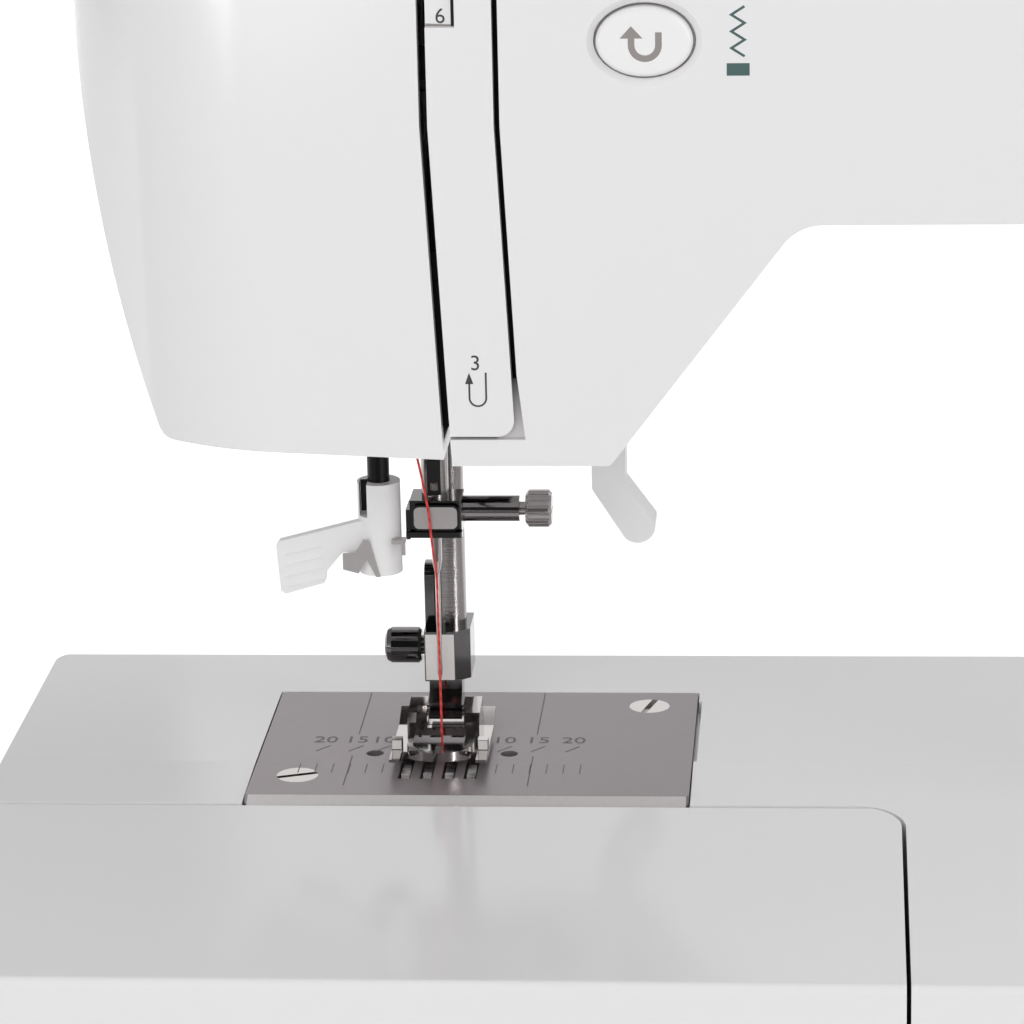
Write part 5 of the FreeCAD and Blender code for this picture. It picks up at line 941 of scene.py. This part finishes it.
@dataclass
class PlatePrints:
    """The seam guide lines and numbers on the needle plate, and a painted highlight on its front rim."""

    top: float
    ticks: TickRow = TickRow(count=6, step=3.23, length=5.0, width=0.2)
    tick_y: float = 10.4
    tick_starts: Point = (-141.4, -103.4)
    lines: Point = (-131.9, -96.8)
    line_spans: tuple[Point, ...] = ((54.6, 30.0), (17.4, 0.9))
    line_width: float = 0.24
    numbers: tuple[tuple[str, Point], ...] = (
        ("20", (-138.0, -89.4)), ("15", (-131.6, -96.1)), ("10", (-126.3, -102.6))
    )
    number_y: float = 26.7
    number_height: float = 3.4
    fraction_y: float = 21.6
    fraction_half: Point = (1.3, 1.6)
    fraction_width: float = 0.3
    bevel_drop: float = 1.309
    bevel_run: float = 2.89
    rim_side: float = 0.5
    rim_edge: float = 0.1

    def build(self) -> None:
        """Etches the ticks, the long lines and the numbers, and paints a highlight on the rim."""
        self._ticks()
        self._scale()
        self._rim()

    def _ticks(self) -> None:
        """Etches the short ticks left and right of the needle."""
        for side, start in zip(("left", "right"), self.tick_starts):
            name = f"plate_ticks_{side}"
            row = self.ticks.mesh(name, Finishes.etch, Face((start, self.tick_y, self.top), up=BACK))
            place_piece(name, row, Finishes.etch, "machine")

    def _scale(self) -> None:
        """Etches the long lines, and the numbers with their slanted strokes."""
        sheet = MarkSheet("plate_scale", Face((0.0, 0.0, self.top), up=BACK))
        for x in self.lines:
            for back, front in self.line_spans:
                sheet.stroke([(x, back), (x, front)], self.line_width)
        half, rise = self.fraction_half
        for text, places in self.numbers:
            for x in places:
                sheet.words(text, (x, self.number_y), self.number_height)
                slant = [(x - half, self.fraction_y - rise), (x + half, self.fraction_y + rise)]
                sheet.stroke(slant, self.fraction_width)
        sheet.finish(Finishes.etch, "machine", "steel")

    def _rim(self) -> None:
        """Paints a highlight on the bevel along the plate's front edge."""
        low, high = (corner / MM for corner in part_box("needle_plate"))
        lean = math.atan2(self.bevel_drop, self.bevel_run)
        slope = Face((0.0, low.y, high.z - self.bevel_drop), up=(0.0, math.cos(lean), math.sin(lean)))
        rim = MarkSheet("plate_front_rim_painted_highlight", slope)
        brow = math.hypot(self.bevel_drop, self.bevel_run) - self.rim_edge
        rim.rectangle((low.x + self.rim_side, high.x - self.rim_side), (self.rim_edge, brow))
        rim.finish(Finishes.rim_steel, "machine", "steel")


@dataclass
class MetalFaces:
    """The clamp's grey pad, painted highlights on the foot holder's front and the foot's posts, and painted
    shade in a groove and a notch.
    """

    needle_x: float = -115.0
    pad_front: float = 19.0
    pad_span: Point = (-3.75, 4.55)
    pad_rise: Point = (129.45, 133.75)
    pad_corner: float = 1.0
    groove_floor: float = 22.1
    groove_half: float = 1.28
    groove_rise: Point = (135.4, 157.0)
    rivet: float = 137.0
    rivet_half: Point = (0.72, 0.75)
    ankle_front: float = 28.7
    ankle_span: Point = (-3.2, 2.4)
    ankle_rise: Point = (95.7, 105.0)
    post_front: float = 13.2
    post_width: float = 2.0
    post_rise: Point = (1.7, 3.5)
    sleeve_centre: Point = (-125.4, 20.0)
    notch_span: Point = (-3.55, -2.0)
    notch_back: float = 1.0
    notch_height: float = 6.4
    margin: float = 0.1

    def build(self) -> None:
        """Lays them on the bodies of the needle bar, the presser bar, the foot and the threader."""
        self._clamp()
        self._groove()
        self._ankle()
        self._posts()
        self._notch()

    def _clamp(self) -> None:
        """Lays the clamp's rounded grey pad."""
        pad = MarkSheet("clamp_face_pad", Face((self.needle_x, self.pad_front, 0.0)))
        inset = self.pad_corner
        left, right = self.pad_span[0] + inset, self.pad_span[1] - inset
        low, high = self.pad_rise[0] + inset, self.pad_rise[1] - inset
        outline: list[Point] = []
        for i, centre in enumerate(((right, low), (right, high), (left, high), (left, low))):
            outline += round_stretch(centre, inset, 90 * i - 90, 90 * i, 6)
        pad.polygon(outline)
        pad.finish(Finishes.face_plate, "needle_unit", "bright")

    def _groove(self) -> None:
        """Paints shade on the groove's floor round its rivet."""
        groove = MarkSheet("needle_bar_groove_floor", Face((self.needle_x, self.groove_floor, 0.0)))
        (low, high), half = self.groove_rise, self.groove_half
        inner, rise = self.rivet_half
        below, above = self.rivet - rise, self.rivet + rise
        for span in ((low, below), (above, high)):
            groove.rectangle((-half, half), span)
        for across in ((-half, -inner), (inner, half)):
            groove.rectangle(across, (below, above))
        groove.finish(Finishes.groove, "needle_unit", "bright")

    def _ankle(self) -> None:
        """Paints a highlight on the foot holder's front."""
        sheet = MarkSheet("foot_holder_painted_highlight", Face((self.needle_x, self.ankle_front, 0.0)))
        sheet.rectangle(self.ankle_span, self.ankle_rise)
        sheet.finish(Finishes.nickel, "presser_unit", "bright")

    def _posts(self) -> None:
        """Paints highlights on the fronts of the foot's two corner posts."""
        low, high = (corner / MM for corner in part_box("presser_foot"))
        sheet = MarkSheet("foot_post_painted_highlights", Face((0.0, self.post_front, low.z)))
        for left in (low.x, high.x - self.post_width):
            sheet.rectangle((left + self.margin, left + self.post_width - self.margin), self.post_rise)
        sheet.finish(Finishes.nickel, "foot", "bright")

    def _notch(self) -> None:
        """Paints shade in the notch of the threader's sleeve."""
        x, y = self.sleeve_centre
        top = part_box("threader_lever")[1].z / MM
        sheet = MarkSheet("sleeve_notch_shade", Face((x, y + self.notch_back, top)))
        sheet.rectangle(self.notch_span, (-self.notch_height, -self.margin))
        sheet.finish(Finishes.groove, "threader", "white_matt")


def tube(name: str, kind: str, spots: list[Spot], width: float, round_steps: int) -> Curve:
    """Makes a round tube along a line of points.

    Args:
        name: The curve's name.
        kind: The spline's type, POLY or NURBS.
        spots: The line's points, in metres.
        width: The tube's diameter.
        round_steps: How finely the tube is rounded.

    Returns:
        The curve, with its one spline.
    """
    curve = bpy.data.curves.new(name, "CURVE")
    curve.dimensions = "3D"
    curve.bevel_depth = width / 2
    curve.bevel_resolution = round_steps
    curve.use_fill_caps = True
    line = curve.splines.new(kind)
    line.points.add(len(spots) - 1)
    for point, spot in zip(line.points, spots):
        point.co = (*spot, 1.0)
    return curve


@dataclass
class NeedleThread:
    """The red strand from the thread slot to the hole in the needle plate."""

    diameter: float = 0.46 * MM
    round_steps: int = 3
    run_steps: int = 12
    route: tuple[Spot, ...] = (
        (-120.0, 16.6, 188.0),
        (-120.0, 16.6, 156.0),
        (-116.0, 18.4, 135.6),
        (-115.3, 18.4, 125.8),
        (-115.0, 23.15, 119.0),
        (-115.0, 23.18, 110.7),
        (-114.9, 23.2, 83.4),
    )

    def build(self) -> None:
        spots = [(x * MM, y * MM, z * MM) for x, y, z in self.route]
        strand = tube("needle_strand", "NURBS", spots, self.diameter, self.round_steps)
        strand.resolution_u = self.run_steps
        line = strand.splines[0]
        line.order_u = 3
        line.use_endpoint_u = True
        strand.materials.append(Finishes.thread_red.material())
        made = show("needle_strand", strand)
        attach(made, "needle_unit")
        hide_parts("needle_thread")
        LOG.info("laid the needle thread, %.1f mm", line.calc_length() / MM)


@dataclass
class PresserSpring:
    """The coil over the presser bar, wound at rest; the real coil shortens as the bar is lifted."""

    joint: str = "presser_lift"
    pitch: float = 3.0 * MM
    wire: float = 1.2 * MM
    steps: int = 24
    round_steps: int = 2

    def build(self, frame: dict) -> None:
        """Winds the coil in the place of its CAD sleeve.
        """
        low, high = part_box("presser_spring")
        centre, radius = (low + high) / 2, (high.x - low.x - self.wire) / 2
        rise = high.z - low.z - self.wire
        count = round(rise / self.pitch) * self.steps
        spots: list[Spot] = []
        for i in range(count + 1):
            turn = 2 * math.pi * i / self.steps
            x, y = centre.x + radius * math.cos(turn), centre.y + radius * math.sin(turn)
            spots.append((x, y, low.z + self.wire / 2 + rise * i / count))
        mesh = settle(show("presser_coil", tube("presser_coil", "POLY", spots, self.wire, self.round_steps)))
        made = place_piece("presser_coil", mesh, Finishes.steel, "machine")
        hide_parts("presser_spring")
        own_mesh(made)


@dataclass(frozen=True)
class DialPrint:
    """The numbers round one dial's face, and its pointer on the front cover."""

    node: str
    depth: float
    texts: tuple[str, ...]
    height: float
    inset: float
    pointer_gap: float = 4.4
    pointer_half: float = 1.3
    pointer_height: float = 2.4

    def build(self, front: float) -> None:
        """Sets the numbers on the dial's body and the pointer above it.

        Args:
            front: The front cover's plane, in millimetres.
        """
        low, high = (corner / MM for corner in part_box(self.node))
        centre, radius = (low + high) / 2, (high.x - low.x) / 2
        sheet = MarkSheet(f"{self.node}_numbers", Face((centre.x, front - self.depth, centre.z)))
        reach = radius - self.inset
        for i, text in enumerate(self.texts):
            turn = math.radians(90 - 360 * (i + 0.5) / len(self.texts))
            sheet.words(text, (reach * math.cos(turn), reach * math.sin(turn)), self.height)
        sheet.finish(Finishes.dark_ink, self.node, "white_matt")
        pointer = MarkSheet(f"{self.node}_pointer", Face((centre.x, front, centre.z)))
        base, half = radius + self.pointer_gap, self.pointer_half
        pointer.polygon([(-half, base), (0.0, base - self.pointer_height), (half, base)])
        pointer.finish(Finishes.dark_ink, "machine", "white_shell")


DIALS = (
    DialPrint("stitch_dial", 7.0, tuple(str(i) for i in range(1, 11)), height=2.9, inset=6.6),
    DialPrint("length_dial", 9.0, tuple(str(i) for i in range(5)), height=2.3, inset=3.8),
)


@dataclass
class SwitchSigns:
    """The line and circle signs on the power switch."""

    size: float = 3.4
    stroke: float = 0.6

    def build(self) -> None:
        """Draws both signs on the switch's outer face."""
        low, high = (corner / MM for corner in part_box("power_switch"))
        middle = (low + high) / 2
        sheet = MarkSheet("switch_signs", Face((high.x, middle.y, middle.z), right=BACK))
        reach = (high.z - low.z) / 4
        sheet.stroke([(0.0, reach - self.size / 2), (0.0, reach + self.size / 2)], self.stroke)
        sheet.stroke(round_stretch((0.0, -reach), self.size / 2, 0, 360, 24), self.stroke)
        sheet.finish(Finishes.white_matt, "switch", "black_plastic")


@dataclass
class PhotoCamera:
    """A long lens in front of and above the head, with level horizontals."""

    place: Spot = (-0.03835, -0.7673, 0.3685)
    forward: Spot = (-0.0751, 0.9589, -0.2874)
    lens: float = 152.0
    sensor: float = 36.0
    near: float = 0.01

    def build(self) -> None:
        """Makes the camera and gives it to the scene."""
        data = bpy.data.cameras.new("photo camera")
        data.lens, data.sensor_width, data.clip_start = self.lens, self.sensor, self.near
        made = show("photo camera", data)
        ahead, across = Vector(self.forward).normalized(), Vector(RIGHT)
        right = (across - ahead * across.dot(ahead)).normalized()
        turn = Matrix((right, right.cross(ahead), -ahead)).transposed().to_4x4()
        made.matrix_world = Matrix.Translation(self.place) @ turn
        bpy.context.scene.camera = made


@dataclass(frozen=True)
class Softbox:
    """One large soft lamp aimed at the machine."""

    name: str
    place: Spot
    target: Spot
    size: Point
    power: float

    def build(self) -> Object:
        """Makes the lamp, unseen in gloss, and returns it."""
        data = bpy.data.lights.new(self.name, "AREA")
        data.shape = "RECTANGLE"
        data.size, data.size_y = self.size
        data.energy = self.power
        made = show(self.name, data)
        turn = (Vector(self.target) - Vector(self.place)).to_track_quat("-Z", "Y")
        made.matrix_world = Matrix.Translation(self.place) @ turn.to_matrix().to_4x4()
        made.visible_glossy = False
        return made


@dataclass(frozen=True)
class GlossCard:
    """A studio card that shows only in gloss: a dark flag, or a bright strip for the chrome."""

    name: str
    corners: tuple[Spot, ...]
    level: float

    @classmethod
    def standing(cls, name: str, feet: tuple[Point, Point], rise: Point, level: float) -> "GlossCard":
        """Sets a card upright.

        Args:
            name: The card's name.
            feet: The ends of the line that it stands over.
            rise: Its lower and upper edges' heights.
            level: How bright it is.

        Returns:
            The card.
        """
        (start, end), (low, high) = feet, rise
        return cls(name, ((*start, low), (*end, low), (*end, high), (*start, high)), level)

    @classmethod
    def lying(cls, name: str, outline: tuple[Point, ...], height: float, level: float) -> "GlossCard":
        """Lays a card level.

        Args:
            name: The card's name.
            outline: Its four corners.
            height: How high it lies.
            level: How bright it is.

        Returns:
            The card.
        """
        return cls(name, tuple((x, y, height) for x, y in outline), level)

    def build(self) -> Object:
        """Makes the card, unseen by the camera and without effect on soft light or shadow, and returns it."""
        mesh = bpy.data.meshes.new(self.name)
        mesh.from_pydata(self.corners, [], [[0, 1, 2, 3]])
        made = bpy.data.materials.new(self.name)
        made.use_nodes = True
        bench = Bench(made.node_tree)
        glow = bench.add("ShaderNodeEmission")
        glow.inputs["Strength"].default_value = self.level
        bench.link(glow.outputs[0], made.node_tree.nodes["Material Output"].inputs["Surface"])
        mesh.materials.append(made)
        card = show(self.name, mesh)
        card.visible_camera = False
        card.visible_diffuse = False
        card.visible_transmission = False
        card.visible_shadow = False
        return card


@dataclass
class Studio:
    """Pale floor, white surroundings and soft lamps."""

    floor_half: float = 3.0
    floor_tone: float = 0.86
    floor_vary: float = 0.01
    floor_scale: float = 3.0
    floor_roughness: float = 0.9
    floor_gloss: float = 0.1
    floor_lift: float = 0.55
    sky_level: float = 0.5
    lamps: tuple[Softbox, ...] = (
        Softbox("front softbox", (-0.5, -1.5, 0.9), (-0.05, 0.0, 0.15), (1.3, 0.9), 9.3),
        Softbox("right softbox", (1.4, -0.7, 0.8), (0.0, 0.0, 0.15), (0.7, 0.9), 4.0),
        Softbox("low fill", (-0.1, -1.5, 0.3), (-0.1, 0.0, 0.12), (0.9, 0.3), 2.6),
        Softbox("back softbox", (-0.2, 1.7, 1.0), (0.0, 0.0, 0.12), (1.2, 0.8), 5.0),
    )
    cards: tuple[GlossCard, ...] = (
        GlossCard.lying("floor flag", ((-1.8, -1.9), (1.2, -1.9), (1.2, -0.1), (-1.8, -0.1)), 0.004, 0.2),
        GlossCard.standing("front flag", ((-2.6, -1.9), (2.6, -1.9)), (0.0, 2.2), 0.03),
        GlossCard.standing("back flag", ((-2.0, 1.6), (-0.42, 1.6)), (0.62, 1.8), 0.3),
        GlossCard.standing("left flag", ((-1.4, -0.7), (-1.4, 1.5)), (0.0, 1.6), 0.35),
        GlossCard.standing("right flag", ((1.4, -0.7), (1.4, 1.5)), (0.0, 1.6), 0.35),
        GlossCard.standing("bright strip", ((0.64, -0.9), (0.74, -0.82)), (0.06, 0.9), 24.0),
        GlossCard.lying("sheen", ((-0.75, -1.88), (-0.24, -1.88), (-0.28, -1.2), (-0.75, -1.2)), 0.006, 2.2),
        GlossCard.lying(
            "sheen edge", ((-2.6, -1.88), (-0.75, -1.88), (-0.75, -1.2), (-2.6, -1.2)), 0.006, 10.0
        ),
    )

    def build(self) -> None:
        """Makes the floor, the lamps, the cards and the world."""
        bpy.context.scene.view_settings.view_transform = "Standard"
        floor = self._floor()
        lamps = [lamp.build() for lamp in self.lamps]
        [card.build() for card in self.cards]
        self._world()

    def _world(self) -> None:
        """Surrounds the scene with soft light that the camera sees as white."""
        world = bpy.data.worlds.new("white studio")
        world.use_nodes = True
        bpy.context.scene.world = world
        bench = Bench(world.node_tree)
        plain, white = world.node_tree.nodes["Background"], bench.add("ShaderNodeBackground")
        for shader, level in ((plain, self.sky_level), (white, 1.0)):
            shader.inputs["Color"].default_value = WHITE
            shader.inputs["Strength"].default_value = level
        self._pick(bench, plain, white, world.node_tree.nodes["World Output"])

    def _pick(self, bench: Bench, plain: Node, seen: Node, output: Node) -> None:
        """Shows one shader to the camera, straight on, in gloss or through glass, and another to the rest.

        Args:
            bench: Where the nodes go.
            plain: The shader for all other light.
            seen: The shader that the camera sees.
            output: The output node.
        """
        path = bench.add("ShaderNodeLightPath")
        direct = bench.math("ADD", path.outputs["Is Camera Ray"], path.outputs["Is Glossy Ray"], True)
        pick = bench.add("ShaderNodeMixShader")
        bench.link(bench.math("ADD", direct, path.outputs["Is Transmission Ray"], True), pick.inputs["Fac"])
        bench.link(plain.outputs[0], pick.inputs[1])
        bench.link(seen.outputs[0], pick.inputs[2])
        bench.link(pick.outputs[0], output.inputs["Surface"])

    def _floor(self) -> Object:
        """Makes the floor plane, which keeps the shadow and shows white.

        Returns:
            The floor's object.
        """
        half = self.floor_half
        corners = [(-half, -half, 0), (half, -half, 0), (half, half, 0), (-half, half, 0)]
        mesh = bpy.data.meshes.new("floor")
        mesh.from_pydata(corners, [], [[0, 1, 2, 3]])
        made = bpy.data.materials.new("pale floor")
        made.use_nodes = True
        bench = Bench(made.node_tree)
        shader = made.node_tree.nodes["Principled BSDF"]
        shader.inputs["Roughness"].default_value = self.floor_roughness
        shader.inputs["Specular IOR Level"].default_value = self.floor_gloss
        low, high = self.floor_tone - self.floor_vary, self.floor_tone + self.floor_vary
        bench.link(bench.spread(bench.noise(self.floor_scale), low, high), shader.inputs["Base Color"])
        glow, both = bench.add("ShaderNodeEmission"), bench.add("ShaderNodeAddShader")
        glow.inputs["Strength"].default_value = self.floor_lift
        bench.link(shader.outputs[0], both.inputs[0])
        bench.link(glow.outputs[0], both.inputs[1])
        self._pick(bench, shader, both, made.node_tree.nodes["Material Output"])
        mesh.materials.append(made)
        return show("floor", mesh)


def main() -> None:
    """Dresses the machine and sets the stage."""
    logging.basicConfig(level=logging.INFO, format="%(name)s: %(message)s")
    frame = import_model()
    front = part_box("front_cover")[0].y / MM
    Shells().dress(frame)
    NeedleThread().build()
    PresserSpring().build(frame)
    MetalFaces().build()
    FrontPrints(front).build()
    ReverseSign(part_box("reverse_button")[0].y / MM).build()
    PlatePrints(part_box("needle_plate")[1].z / MM).build()
    for dial in DIALS:
        dial.build(front)
    SwitchSigns().build()
    Studio().build()
    PhotoCamera().build()


if __name__ == "__main__":
    main()
